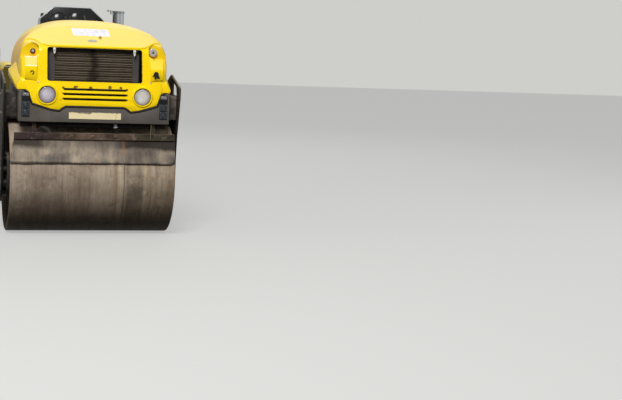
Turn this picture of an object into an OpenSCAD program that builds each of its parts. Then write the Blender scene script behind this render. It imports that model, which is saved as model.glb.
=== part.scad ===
// Compact tandem roller, hinged at its middle, with a smooth steel drum at each end.
// The front faces -Y, Z is up and +X is on the machine's left. All sizes are in millimetres.
// The origin is on the ground, under the steering pivot.

/* [Drums] */
// Outside diameter of each drum
drum_d = 900; // [880:10:960]
// Width of each drum
drum_w = 1300; // [1260:10:1400]
// Thickness of the drum shell
shell_t = 18; // [12:1:26]
// Radius on the drum's outer edges
drum_edge_r = 12; // [6:1:12]
// How far each end disc sits inside the drum's edge
dish_inset = 110; // [90:5:140]
// Thickness of each end disc
dish_t = 16; // [12:1:24]
// Distance between the two drum axles
wheelbase = 1950; // [1950:10:2050]

/* [Frame] */
// How far the frame's side plates stand inside the drum's ends
side_inset = 60; // [55:1:68]
// Thickness of the side plates
side_t = 12; // [8:1:16]
// Thickness of the deck over each drum
deck_t = 15; // [10:1:20]
// Free height between the drum and the deck
deck_gap = 30; // [25:1:40]
// Distance from the axle to the outer face of the nose plate
nose_reach = 425; // [415:5:425]
// Thickness of the nose plate
nose_t = 15; // [10:1:20]
// How far the nose plate hangs below the deck's top
nose_drop = 38; // [30:1:60]
// Distance from the steering pivot to the middle face of each bulkhead
bulkhead_y = 480; // [470:1:490]
// Thickness of each bulkhead
bulkhead_t = 15; // [12:1:20]

/* [Yokes] */
// Free width between the drum's end and the yoke plate
yoke_gap = 33; // [28:1:40]
// Thickness of a yoke plate
yoke_t = 15; // [12:1:20]
// Radius of the yoke plate's lower end, round the axle
yoke_end_r = 190; // [185:1:210]
// Length of the outrigger box, along the machine
outrigger_l = 450; // [400:10:480]
// Height of the outrigger box
outrigger_h = 190; // [160:5:200]
// Wall of the outrigger box
outrigger_t = 12; // [8:1:16]
// Radius of the round lashing hole in each yoke plate
lashing_r = 30; // [20:1:35]

/* [Hubs] */
// Radius of the stub shaft that the drum turns on
stub_r = 60; // [50:1:70]
// Radius of the flange that carries the stub shaft
flange_r = 180; // [170:1:184]
// Thickness of the flange
flange_t = 20; // [16:1:26]
// Radius of a rubber buffer
buffer_r = 30; // [24:1:32]
// Radius of the circle of buffers
buffer_circle_r = 140; // [135:1:145]
// Number of buffers at each end of an axle
buffer_count = 8; // [6:1:8]
// Radius of the drive motor's body
motor_r = 75; // [60:1:85]

/* [Hitch] */
// Height of the hitch's middle above the ground
hitch_z = 560; // [550:1:580]
// Radius of the upright steering pin
pivot_r = 30; // [25:1:35]
// Height of the hitch block
block_h = 150; // [130:1:160]
// Radius of the hitch block
block_r = 60; // [50:1:65]
// Thickness of each hitch ear
ear_t = 25; // [20:1:30]
// Radius of the shaft that the rear frame rocks on
rock_r = 45; // [40:1:50]
// Wall of the rocking bearing
bearing_wall = 37; // [25:1:40]
// Radial clearance of every pin and shaft in its bore
fit_gap = 0.05; // [0.02:0.01:0.08]

/* [Steering cylinder] */
// Radius of the cylinder's barrel
barrel_r = 32; // [26:1:36]
// Radius of the cylinder's rod
rod_r = 16; // [12:1:18]
// Radius of the cylinder's pins
cyl_pin_r = 13; // [10:1:14]
// Thickness of the barrel's eye and of the hitch block's arm
eye_t = 24; // [20:1:26]
// Thickness of each clevis cheek
cheek_t = 14; // [10:1:16]

/* [Hood] */
// How far the hood's sides stand inside the frame's side plates
hood_inset = 10; // [5:1:16]
// Height of the hood's crest above the deck
hood_h = 757; // [740:1:780]
// Wall of the hood
hood_wall = 8; // [5:1:10]
// Height above the deck where the hood's upright sides begin to arch
hood_spring_h = 345; // [335:1:355]
// Gap between the hood's edge and the frame
hood_gap = 12; // [8:1:16]
// Distance from the steering pivot to the hood's rear edge
hood_rear_y = 450; // [440:1:460]
// How far the lip along the hood's side edges stands out
lip_reach = 55; // [40:1:65]
// Radius of the hood's hinge pins
hood_pin_r = 8; // [6:1:10]

/* [Hood front] */
// Distance from the hood's side to the radiator opening
grille_side = 213; // [210:1:230]
// Height of the radiator opening's lower edge above the deck
grille_h0 = 286; // [280:1:295]
// Height of the radiator opening's upper edge above the deck
grille_h1 = 537; // [520:1:545]
// Number of slots below the radiator opening
slot_count = 3; // [2:1:3]
// Distance between slots
slot_pitch = 38; // [34:1:40]
// Height of a slot
slot_h = 18; // [12:1:20]
// Distance from the hood's side to the slots' ends
slot_side = 333; // [330:1:345]
// Distance from the hood's side to the middle of each headlamp
headlamp_side = 207; // [202:1:215]
// Height of the headlamps above the deck
headlamp_h = 173; // [168:1:178]
// Radius of a headlamp's glass
headlamp_r = 66; // [60:1:68]
// Width of the raised ring round a headlamp
headlamp_ring = 19; // [14:1:20]
// Distance from the hood's side to the middle of each small lamp
marker_side = 109; // [104:1:114]
// Height of the upper small lamps above the deck
marker_h = 508; // [504:1:512]
// Radius of a small lamp
marker_r = 34; // [30:1:35]

/* [Radiator and engine] */
// Number of cooling slats on the radiator
slat_count = 26; // [16:1:30]
// Thickness of a cooling slat
slat_t = 3; // [2:0.5:4]
// Thickness of the radiator core
core_t = 60; // [50:1:70]
// Width of the engine
engine_w = 440; // [400:10:480]
// Length of the engine
engine_l = 540; // [480:10:560]
// Height of the engine
engine_h = 450; // [400:10:470]
// Thickness of the firewall behind the engine
firewall_t = 10; // [6:1:12]
// Radius of the exhaust pipe
exhaust_r = 47; // [40:1:50]
// Wall of the exhaust pipe
exhaust_wall = 4; // [2:0.5:6]
// Height of the exhaust pipe's mouth above the deck
exhaust_h = 840; // [820:1:860]

/* [Driver's place] */
// Thickness of the platform's floor
floor_t = 15; // [8:1:18]
// How far the platform reaches outside the frame's side plates
floor_reach = 60; // [50:1:66]
// Height of the dashboard's top above the platform's underside
dash_h = 867; // [850:1:880]
// Half width of the dashboard
dash_hw = 275; // [260:1:290]
// Half width of the dashboard's top edge
dash_top_hw = 150; // [140:1:170]
// Sideways place of the dashboard and steering wheel
dash_x = -40; // [-60:1:0]
// Radius of the steering wheel
wheel_r = 190; // [180:1:200]
// Radius of the steering wheel's rim
rim_r = 14; // [11:1:16]
// Lean of the steering column from upright, in degrees
column_lean = 30; // [26:1:34]
// Width of the seat
seat_w = 460; // [440:5:500]
// Depth of the seat cushion
seat_l = 420; // [400:5:440]
// Thickness of the seat cushion
cushion_t = 90; // [70:1:100]
// Height of the seat's back
back_h = 370; // [340:5:380]
// Thickness of the seat's back
back_t = 70; // [60:1:80]
// Lean of the seat's back, in degrees
back_lean = 12; // [8:1:14]
// Height of the tank above the deck
tank_h = 345; // [320:1:360]
// Radius of a handrail's tube
rail_r = 16; // [13:1:19]

/* [Hidden] */
$fn = 64;

axle_y = wheelbase / 2;
axle_z = drum_d / 2;
deck_bottom = drum_d + deck_gap;
deck_top = deck_bottom + deck_t;
nose_y = axle_y + nose_reach;
side_x = drum_w / 2 - side_inset;
frame_w = 2 * side_x;
hood_hw = side_x - hood_inset;
lip_hw = hood_hw + lip_reach;
grille_hw = hood_hw - grille_side;
slot_hw = hood_hw - slot_side;
headlamp_x = hood_hw - headlamp_side;
marker_x = hood_hw - marker_side;
yoke_x = drum_w / 2 + yoke_gap;
floor_hw = side_x + floor_reach;
flange_x = drum_w / 2;

// Lower edge of the hood's front, from the middle to one side: distance from the hood's side, height
// above the deck
hem_drops = [[353, 93], [330, 80], [302, 58], [235, 67], [91, 110], [64, 169], [50, 205], [20, 215]];
hem = [for (p = hem_drops) [hood_hw - p.x, p.y]];

// Sections of the hood: distance from the pivot, width lost on each side, height lost, squareness
hood_sections = [
    [hood_rear_y, 0, 0, 2.6],
    [950, 0, 1, 2.6],
    [1080, 0, 16, 3],
    [1190, 2, 54, 3.6],
    [1295, 12, 185, 5],
    [1318, 20, 225, 5]
];
// Foot of the hood's front face: distance from the pivot, width lost, height above the deck
hood_foot = [1388, 80, 150];
hood_rise_y = 1040;
// Distance from the pivot to where the hood's sides meet its front
hood_nose_y = 1330;
hood_side_h = 220;
hood_side_rise = 110;
hood_hinge = [5, 47];
hood_hinge_x = 240;
hood_hinge_w = 12;
hood_hinge_y = -hood_rear_y - hood_hinge.x;
hood_hinge_z = deck_top + hood_h - hood_hinge.y;

// Distance from the pivot to the seats of the upper small lamps
marker_seat_y = 1272;

exhaust_x = hood_hw - 258;
exhaust_y = -330;
exhaust_elbow_h = 470;

// Steering cylinder: places of its two pins in plan, and the arm's eye on the hitch block
barrel_pin = [250, -430];
rod_pin = [115, 20];
cyl_dir = atan2(rod_pin.y - barrel_pin.y, rod_pin.x - barrel_pin.x);
cyl_l = norm(rod_pin - barrel_pin);
arm_hole_r = cyl_pin_r + 23;
arm_end_r = arm_hole_r + 18;
rod_web_t = 18;
rod_web_x = cyl_l - arm_end_r - 24;
gland_x = 300;

seat_y = 540;
seat_z = deck_top + tank_h + 50;

function xy(p) = [p.x, p.y];
function unit(v) = v / norm(v);
// Points of the arc of radius r that rounds the corner b between a and c
function corner(a, b, c, r, n) =
    let (
        u = unit(a - b),
        w = unit(c - b),
        half = acos(u * w) / 2,
        centre = b + unit(u + w) * r / sin(half),
        first = b + u * r / tan(half) - centre,
        last = b + w * r / tan(half) - centre,
        start = atan2(first.y, first.x),
        turn = (atan2(last.y, last.x) - start + 540) % 360 - 180
    )
    half > 89.9 ? [b] : [for (i = [0 : n]) centre + r * [cos(start + turn * i / n), sin(start + turn * i / n)]];
// An outline whose points are [across, up, corner radius]
function rounded(pts, n = 6) =
    let (k = len(pts))
    [for (i = [0 : k - 1])
        each (pts[i].z > 0
            ? corner(xy(pts[(i + k - 1) % k]), xy(pts[i]), xy(pts[(i + 1) % k]), pts[i].z, n)
            : [xy(pts[i])])];
function mirrored(pts) = [for (i = [len(pts) - 1 : -1 : 0]) [-pts[i].x, pts[i].y]];
function power(v, n) = sign(v) * pow(abs(v), n);
// Arched outline of the hood: half width, height where the arch springs, crest, squareness
function arch(hw, spring, crest, squareness, foot, n = 12) =
    concat([[hw, foot]],
        [for (i = [0 : 2 * n])
            let (a = 90 * i / n)
            [hw * power(cos(a), 2 / squareness), spring + (crest - spring) * power(sin(a), 2 / squareness)]],
        [[-hw, foot]]);

module both_sides() {
    children();
    mirror([1, 0, 0]) children();
}
// A piece at the rear is the front one turned over the pivot's cross line
module at_rear() {
    mirror([0, 1, 0]) children();
}
// A flat plate across X, from x to x + t, with its outline given as distance along Y and height
module plate_x(x, t) {
    translate([x, 0, 0]) rotate([90, 0, 90]) linear_extrude(t) children();
}
// A flat plate across Y, from y to y + t, with its outline given as distance along X and height
module plate_y(y, t) {
    translate([0, y + t, 0]) rotate([90, 0, 0]) linear_extrude(t) children();
}
module plate_z(z, t) {
    translate([0, 0, z]) linear_extrude(t) children();
}
module rod_x(x, l, r) {
    translate([x, 0, 0]) rotate([0, 90, 0]) cylinder(h = l, r = r);
}
module rod_y(y, l, r) {
    translate([0, y + l, 0]) rotate([90, 0, 0]) cylinder(h = l, r = r);
}
// A block centred on X, from y0 to y1 and z0 to z1
module block(w, y0, y1, z0, z1) {
    translate([-w / 2, y0, z0]) cube([w, y1 - y0, z1 - z0]);
}

// Drum: shell, end discs and the bosses that turn on the stub shafts
module drum() {
    outer = drum_d / 2;
    inner = outer - shell_t;
    end = drum_w / 2;
    disc_x = end - dish_inset - dish_t;
    boss_r = stub_r + 45;
    boss_l = 45;
    translate([0, -axle_y, axle_z]) rotate([0, 90, 0]) {
        rotate_extrude($fn = 128)
            polygon(rounded([[inner, -end, 0], [outer, -end, drum_edge_r], [outer, end, drum_edge_r],
                [inner, end, 0]]));
        for (s = [-1, 1]) scale([1, 1, s]) rotate_extrude($fn = 128)
            polygon([[stub_r + fit_gap, disc_x - boss_l], [boss_r, disc_x - boss_l], [boss_r, disc_x],
                [inner, disc_x], [inner, disc_x + dish_t], [stub_r + fit_gap, disc_x + dish_t]]);
    }
}
module front_drum() color("dimgray") drum();
module rear_drum() color("dimgray") at_rear() drum();

// Frame over one drum: deck, side plates and bulkhead
module half_frame(side_top) {
    nose_in = -nose_y + nose_t;
    both_sides() plate_x(side_x - side_t, side_t) polygon(side_top);
    block(frame_w - 2 * side_t, nose_in, -bulkhead_y - bulkhead_t, deck_bottom, deck_top);
    plate_y(-bulkhead_y - bulkhead_t, bulkhead_t) bulkhead_outline();
}
// Outriggers: box tubes that reach out from the side plates to the yokes
module outriggers() {
    both_sides() translate([side_x, -axle_y - outrigger_l / 2, deck_bottom]) difference() {
        cube([yoke_x - side_x, outrigger_l, outrigger_h]);
        translate([-1, outrigger_t, outrigger_t])
            cube([yoke_x - side_x + 2, outrigger_l - 2 * outrigger_t, outrigger_h - 2 * outrigger_t]);
    }
}
module front_outriggers() color([0.31, 0.3, 0.3]) outriggers();
module rear_outriggers() color([0.31, 0.3, 0.3]) at_rear() outriggers();
module bulkhead_outline() {
    waist = barrel_pin.x + 50;
    polygon(rounded([[-side_x + side_t, deck_top, 0], [-side_x + side_t, deck_top - 120, 60],
        [-waist, hitch_z + 60, 60], [-waist + 60, hitch_z - block_h / 2 - 70, 40],
        [waist - 60, hitch_z - block_h / 2 - 70, 40], [waist, hitch_z + 60, 60],
        [side_x - side_t, deck_top - 120, 60], [side_x - side_t, deck_top, 0]]));
}
// Outline of a side plate: its foot dips behind the nose plate, its top follows what stands on it
function side_outline(front_h, rear_h, rise_y) =
    let (nose_in = -nose_y + nose_t)
    rounded([[nose_in, deck_top - nose_drop, 0], [nose_in + 70, deck_top - nose_drop, 20],
        [nose_in + 110, deck_bottom, 20], [-bulkhead_y, deck_bottom, 0], [-bulkhead_y, deck_top + rear_h, 0],
        [-rise_y, deck_top + rear_h, 40], [nose_in + 55, deck_top + front_h, 20],
        [nose_in, deck_top + front_h, 0]]);

module ear(z) {
    tip_r = block_r + 5;
    root_hw = 150;
    plate_z(z, ear_t) {
        circle(r = tip_r);
        polygon([[-root_hw, -bulkhead_y], [root_hw, -bulkhead_y], [tip_r, 0], [-tip_r, 0]]);
    }
}
module front_frame() color([0.33, 0.31, 0.31])
    half_frame(side_outline(hood_side_h - hood_gap, hood_side_h + hood_side_rise - hood_gap, hood_rise_y));
// Ears that hold the hitch's upright pin, and the lugs for the steering cylinder
module hitch_ears() color([0.3, 0.28, 0.28]) {
    ear_low = hitch_z - block_h / 2 - 5 - ear_t;
    ear_high = hitch_z + block_h / 2 + 5;
    ear(ear_low);
    ear(ear_high);
    translate([0, 0, ear_low]) cylinder(h = ear_high + ear_t - ear_low, r = pivot_r);
    // Ribs that brace the ears against the bulkhead
    rib_t = 16;
    for (x = [-90, 90]) plate_x(x - rib_t / 2, rib_t) {
        polygon([[-bulkhead_y, ear_high + ear_t], [-180, ear_high + ear_t], [-bulkhead_y, ear_high + 160]]);
    }
    // Lugs that hold the steering cylinder's barrel
    for (z = [hitch_z + eye_t / 2 + 3, hitch_z - eye_t / 2 - 3 - cheek_t]) plate_z(z, cheek_t) {
        translate(barrel_pin) circle(r = 30);
        polygon([[barrel_pin.x - 42, -bulkhead_y], [barrel_pin.x + 42, -bulkhead_y],
            [barrel_pin.x + 30, barrel_pin.y], [barrel_pin.x - 30, barrel_pin.y]]);
    }
    translate([barrel_pin.x, barrel_pin.y, hitch_z - eye_t / 2 - 3 - cheek_t])
        cylinder(h = eye_t + 6 + 2 * cheek_t, r = cyl_pin_r);
}

// Nose plate: it closes the frame's end, and its top follows the hood's lower edge
function hem_below(gap) = [for (p = hem) [p.x + gap / 2, deck_top + p.y - gap]];
module front_nose() color([0.33, 0.31, 0.31]) {
    half = concat(hem_below(hood_gap), [[side_x - 4, deck_top + hood_side_h - hood_gap],
        [side_x - 4, deck_top - nose_drop]]);
    plate_y(-nose_y, nose_t) polygon(concat(half, mirrored(half)));
}
// Rubber seal that fills the gap between nose plate and hood
module hood_seal() color([0.05, 0.05, 0.05]) {
    clear = 1.5;
    top = hem_below(clear);
    low = hem_below(hood_gap);
    rows = [for (i = [len(low) - 1 : -1 : 0]) low[i]];
    half = concat(top, rows);
    plate_y(-nose_y + 4, 8) {
        polygon(half);
        polygon(mirrored(half));
        polygon([top[0], [-top[0].x, top[0].y], [-low[0].x, low[0].y], low[0]]);
    }
}
module rear_nose() color([0.33, 0.31, 0.31]) at_rear() {
    half = [[side_x - 4, deck_top - nose_drop], [side_x - 4, deck_top + 150], [side_x - 60, deck_top + 170]];
    plate_y(-nose_y, nose_t) polygon(concat(half, mirrored(half)));
}

// Yoke plates: they hang from the outriggers and carry the axle
module yoke_outline() {
    rise = deck_top - axle_z;
    waist = yoke_end_r + 33;
    difference() {
        union() {
            circle(r = yoke_end_r);
            polygon(rounded([[-yoke_end_r, 0, 0], [-yoke_end_r, 150, 0], [-waist, rise - 151, 90],
                [-320, rise + 165, 20], [-325, rise + 251, 26], [58, rise + 344, 50], [310, rise + 250, 30],
                [300, rise + 130, 30], [waist, rise - 151, 90], [yoke_end_r, 150, 0], [yoke_end_r, 0, 0]]));
        }
        circle(r = motor_r + 20);
        // Eye that a lifting hook goes through
        polygon(rounded([[-215, rise + 178, 14], [-12, rise + 184, 18], [-18, rise + 296, 14],
            [-190, rise + 250, 16]]));
        translate([248, rise + 205]) circle(r = lashing_r);
    }
}
module yokes() {
    both_sides() translate([0, -axle_y, axle_z]) plate_x(yoke_x, yoke_t) yoke_outline();
}
module front_yokes() color([0.3, 0.3, 0.32]) yokes();
module rear_yokes() color([0.3, 0.3, 0.32]) at_rear() yokes();

module buffers() {
    both_sides() translate([0, -axle_y, axle_z]) for (i = [0 : buffer_count - 1])
        rotate([360 * (i + 0.5) / buffer_count, 0, 0]) translate([0, buffer_circle_r, 0])
            rod_x(flange_x, yoke_gap, buffer_r);
}
module front_buffers() color("black") buffers();
module rear_buffers() color("black") at_rear() buffers();

// Hubs: a flange on the buffers, the stub shaft inside it and the drive motor outside
module hubs() {
    boss_in = drum_w / 2 - dish_inset - dish_t - 45;
    both_sides() translate([0, -axle_y, axle_z]) {
        rod_x(flange_x - flange_t, flange_t, flange_r);
        rod_x(boss_in, flange_x - flange_t - boss_in, stub_r);
        rod_x(flange_x, yoke_gap + yoke_t / 2, motor_r);
        rod_x(flange_x + yoke_gap + yoke_t / 2, 4, motor_r - 22);
    }
}
module front_hubs() color([0.25, 0.25, 0.26]) hubs();
module rear_hubs() color([0.25, 0.25, 0.26]) at_rear() hubs();

// Bar and rubber mat that wipe the drum, and the water pipe that wets it
bar_z0 = deck_top - 177;
bar_z1 = deck_top - 125;
bar_t = 14;
bar_y = nose_y - 16;
mat_t = 8;
// Free room between the drum and the mat's foot
mat_gap = 6;
module wiper_bar() {
    hanger_w = 32;
    hanger_in = 200;
    block(drum_w - 30, -bar_y, -bar_y + bar_t, bar_z0, bar_z1);
    // Hangers behind the mat's head, bolted up under the frame's deck
    both_sides() translate([drum_w / 2 - hanger_in, -bar_y + bar_t + mat_t, bar_z0 + 10])
        cube([hanger_w, bar_t, deck_bottom - bar_z0 - 10]);
}
module wiper_mat() {
    foot_z = deck_top - 360;
    foot_y = -axle_y - sqrt(pow(axle_z + mat_gap, 2) - pow(foot_z - axle_z, 2)) - mat_t;
    back_y = -bar_y + bar_t + mat_t;
    plate_x(-drum_w / 2, drum_w)
        polygon([[back_y - mat_t, bar_z1], [back_y, bar_z1], [back_y, bar_z0 - 6],
            [foot_y + mat_t, foot_z], [foot_y, foot_z], [back_y - mat_t, bar_z0 - 6]]);
}
module spray_pipe() {
    pipe_r = 14;
    pipe_y = -nose_y + 75;
    pipe_z = deck_bottom - 52;
    nozzles = 4;
    translate([0, pipe_y, pipe_z]) {
        rod_x(-side_x + side_t + 10, 2 * (side_x - side_t - 10), pipe_r);
        for (i = [0 : nozzles - 1]) translate([(i - (nozzles - 1) / 2) * 2 * side_x / nozzles, 0, -pipe_r - 14])
            cylinder(h = 20, r = 9);
        for (x = [-300, 300]) translate([x - 10, -8, 0]) cube([20, 16, deck_bottom - pipe_z]);
    }
}
module front_bar() color([0.2, 0.15, 0.13]) wiper_bar();
module rear_bar() color([0.2, 0.15, 0.13]) at_rear() wiper_bar();
module front_mat() color([0.35, 0.32, 0.29]) wiper_mat();
module rear_mat() color([0.35, 0.32, 0.29]) at_rear() wiper_mat();
module front_spray() color("silver") spray_pipe();
module rear_spray() color("silver") at_rear() spray_pipe();

// Radiator: core with slats in front, side tanks and feet on the deck
core_y = -1262;
module radiator() color([0.2, 0.18, 0.17]) {
    core_hw = grille_hw - 62;
    core_z0 = deck_top + grille_h0 - 230;
    core_z1 = deck_top + grille_h1 + 8;
    slat_d = 8;
    pitch = (core_z1 - core_z0 - 20) / (slat_count - 1);
    block(2 * core_hw, core_y, core_y + core_t, core_z0, core_z1);
    for (i = [0 : slat_count - 1])
        block(2 * core_hw, core_y - slat_d, core_y, core_z0 + 10 + i * pitch - slat_t / 2,
            core_z0 + 10 + i * pitch + slat_t / 2);
    both_sides() translate([core_hw, core_y - slat_d - 2, core_z0])
        cube([62, core_t + slat_d + 2, core_z1 - core_z0]);
    both_sides() translate([core_hw - 60, core_y + 10, deck_top]) cube([60, 40, core_z0 - deck_top]);
}
// Engine: one block with its head, on four feet
module engine() color([0.36, 0.37, 0.38]) {
    y1 = -bulkhead_y - bulkhead_t - 60;
    y0 = y1 - engine_l;
    foot_h = 24;
    top = deck_top + foot_h + engine_h;
    block(engine_w, y0, y1, deck_top + foot_h, top - 110);
    block(engine_w * 0.6, y0 + 30, y1 - 60, top - 110, top);
    for (x = [-1, 1], y = [y0 + 40, y1 - 100])
        translate([x * (engine_w / 2 - 30) - 30, y, deck_top]) cube([60, 60, foot_h]);
}
// Firewall: closes the hood's rear and holds its hinge
module firewall() color([0.2, 0.2, 0.21]) {
    inset = 24;
    crest_drop = 70;
    wall_y = -bulkhead_y - bulkhead_t;
    lug_x = hood_hinge_x - hood_hinge_w;
    plate_y(wall_y, firewall_t) difference() {
        polygon(arch(hood_hw - inset - hood_wall, deck_top + hood_spring_h - inset,
            deck_top + hood_h - crest_drop, 2.6, deck_top));
        translate([exhaust_x, deck_top + exhaust_elbow_h]) circle(r = exhaust_r + 6);
    }
    both_sides() plate_x(lug_x, hood_hinge_w - 1) difference() {
        polygon(rounded([[wall_y + firewall_t, hood_hinge_z - 110, 0], [hood_hinge_y + 16, hood_hinge_z - 50, 20],
            [hood_hinge_y + 16, hood_hinge_z + 14, 14], [hood_hinge_y - 14, hood_hinge_z + 14, 14],
            [wall_y + firewall_t, hood_hinge_z - 40, 10]]));
        translate([hood_hinge_y, hood_hinge_z]) circle(r = hood_pin_r + fit_gap);
    }
}
// Exhaust pipe: out through the firewall, round an elbow and up
module exhaust_pipe() color([0.62, 0.65, 0.68]) {
    bend = 80;
    z = deck_top + exhaust_elbow_h;
    start = -bulkhead_y - bulkhead_t - 40;
    mouth = deck_top + exhaust_h;
    ring_t = 6;
    translate([exhaust_x, 0, 0]) {
        translate([0, 0, z]) difference() {
            union() {
                rod_y(start, exhaust_y - bend - start, exhaust_r);
                rod_y(-bulkhead_y - bulkhead_t + firewall_t, 8, exhaust_r + 22);
            }
            rod_y(start - 1, exhaust_y - bend - start + 2, exhaust_r - exhaust_wall);
        }
        translate([0, exhaust_y - bend, z + bend]) rotate([0, 90, 0]) rotate_extrude(angle = 90)
            translate([bend, 0]) difference() {
                circle(r = exhaust_r);
                circle(r = exhaust_r - exhaust_wall);
            }
        translate([0, exhaust_y, z + bend]) difference() {
            union() {
                cylinder(h = mouth - z - bend, r = exhaust_r);
                translate([0, 0, mouth - z - bend - 12]) cylinder(h = 12, r = exhaust_r + ring_t);
            }
            translate([0, 0, -1]) cylinder(h = mouth - z - bend + 2, r = exhaust_r - exhaust_wall);
        }
        // Ears of the rain cap's hinge
        for (s = [-1, 1]) translate([-exhaust_r - 10, exhaust_y, mouth]) plate_y(s * 17 - 3, 6) difference() {
            polygon([[-10, -24], [14, -24], [14, -12], [6, -3], [6, 4], [2, 9.5], [-5, 10], [-8, 6]]);
            translate([0, 4]) circle(r = 4 + fit_gap);
        }
    }
}
// Rain cap on the exhaust pipe, with its counterweight
module exhaust_cap() color([0.3, 0.3, 0.31]) {
    cap_r = exhaust_r + 3;
    cap_z = deck_top + exhaust_h + 1;
    translate([exhaust_x, exhaust_y, cap_z]) {
        cylinder(h = 5, r = cap_r);
        translate([-exhaust_r - 34, -11, 0]) cube([60, 22, 6]);
        translate([-exhaust_r - 48, -13, -2]) cube([16, 26, 14]);
        translate([-exhaust_r - 10, 0, 3]) rod_y(-21, 42, 4);
    }
}

// Hood: outer skin and cavity are the same loft, the cavity a wall smaller
module hood_form(inset) {
    hull() {
        for (s = hood_sections) let (rear = s[0] == hood_rear_y)
            translate([0, -s[0] + (rear ? inset * 2 : inset * (s[0] > 1250 ? 1 : 0)), 0]) rotate([90, 0, 0])
                linear_extrude(1) polygon(arch(hood_hw - s[1] - inset, deck_top + hood_spring_h - s[2] / 4,
                    deck_top + hood_h - s[2] - inset, s[3], deck_top));
        translate([0, -hood_foot.x + inset, deck_top]) block(2 * (hood_hw - hood_foot.y - inset), 0, 1, 0,
            hood_foot.z);
    }
}
// The space below the hood's lower edge, which is cut away
module below_hood() {
    hem_line = [for (p = hem) [p.x, deck_top + p.y]];
    corner_z = deck_top + hood_side_h;
    half = concat(hem_line, [[hood_hw + 100, corner_z], [hood_hw + 100, deck_top - 10]]);
    plate_y(-nose_y - 10, nose_y - hood_nose_y + 30) polygon(concat(half, mirrored(half)));
    plate_x(-hood_hw - 100, 2 * hood_hw + 200)
        polygon([[-hood_nose_y + 20, deck_top - 10], [-hood_nose_y + 20, corner_z],
            [-hood_rise_y, corner_z + hood_side_rise],
            [0, corner_z + hood_side_rise], [0, deck_top - 10]]);
}
module hood_openings() {
    plate_y(-nose_y, 200) {
        translate([-grille_hw, deck_top + grille_h0])
            square([2 * grille_hw, grille_h1 - grille_h0]);
        for (i = [0 : slot_count - 1])
            translate([-slot_hw, deck_top + 144 + i * slot_pitch - slot_h / 2]) square([2 * slot_hw, slot_h]);
    }
    both_sides() {
        translate([headlamp_x, 0, deck_top + headlamp_h]) rod_y(-nose_y, 120, headlamp_r + 2);
        // Pockets of the small lamps, open towards the side
        plate_y(-nose_y, nose_y - marker_seat_y) translate([marker_x, deck_top + marker_h])
            polygon(rounded([[-36, -27, 16], [-35, 38, 14], [-8, 60, 30], [90, 80, 0], [170, 82, 0],
                [170, -64, 0], [62, -56, 30], [4, -46, 30]]));
        // Hole of a lamp that is gone
        translate([marker_x + 15, 0, deck_top + 343]) rod_y(-nose_y, 160, 9);
    }
}
// Lip that stands out along the hood's side edges
module hood_lip() {
    lip_t = 14;
    corner_z = deck_top + hood_side_h;
    top_z = corner_z + hood_side_rise;
    both_sides() plate_x(hood_hw - hood_wall, lip_hw - hood_hw + hood_wall)
        polygon([[-hood_nose_y, corner_z], [-hood_rise_y, top_z], [-hood_rear_y, top_z],
            [-hood_rear_y, top_z + lip_t], [-hood_rise_y - 3, top_z + lip_t], [-hood_nose_y, corner_z + lip_t]]);
}
module hood_shell() color([1, 0.84, 0.05]) {
    arm_x = hood_hinge_x + 1;
    difference() {
        union() {
            difference() {
                hood_form(0);
                difference() {
                    hood_form(hood_wall);
                    // Backing of the lamp seats
                    both_sides() translate([marker_x - 52, -hood_nose_y, deck_top + 262])
                        cube([200, hood_nose_y - marker_seat_y + hood_wall, marker_h - 262 + marker_r + 49]);
                    both_sides() translate([headlamp_x, 0, deck_top + headlamp_h])
                        rod_y(-nose_y, 70, headlamp_r + headlamp_ring);
                }
            }
            hood_lip();
            both_sides() translate([headlamp_x, 0, deck_top + headlamp_h])
                rod_y(-nose_y + 6, 30, headlamp_r + headlamp_ring);
        }
        below_hood();
        hood_openings();
    }
    // Hinge arms under the hood's crest, each with its pin
    both_sides() {
        plate_x(arm_x, hood_hinge_w) polygon([[hood_hinge_y - 12, hood_hinge_z - 12],
            [hood_hinge_y + 12, hood_hinge_z - 12], [hood_hinge_y + 12, hood_hinge_z + 24],
            [hood_hinge_y - 120, hood_hinge_z + 24], [hood_hinge_y - 120, hood_hinge_z + 10]]);
        translate([0, hood_hinge_y, hood_hinge_z])
            rod_x(hood_hinge_x - hood_hinge_w - 4, hood_hinge_w + 8, hood_pin_r);
    }
}
// Headlamps: a bowl behind a domed glass
module headlamps() color([0.85, 0.87, 0.9]) {
    both_sides() translate([headlamp_x, -nose_y + 12, deck_top + headlamp_h]) rotate([-90, 0, 0])
        rotate_extrude() polygon([[0, -4], [headlamp_r * 0.5, -2], [headlamp_r, 4], [headlamp_r + 1.7, 6],
            [headlamp_r + 1.7, 30], [headlamp_r * 0.75, 62], [headlamp_r * 0.35, 74], [0, 74]]);
}
// Small lamps: a round glass on the right of the picture, a bare bulb on the left
module marker_lamps() color("white") {
    z = deck_top + marker_h;
    base_t = 6;
    translate([marker_x, 0, z]) {
        rod_y(-marker_seat_y - base_t, base_t, marker_r);
        rod_y(-marker_seat_y - base_t - 10, 10, marker_r - 4);
    }
    translate([-marker_x, 0, z]) {
        rod_y(-marker_seat_y - base_t, base_t, 20);
        translate([0, -marker_seat_y - base_t - 9, 0]) sphere(r = 12);
    }
}
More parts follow.
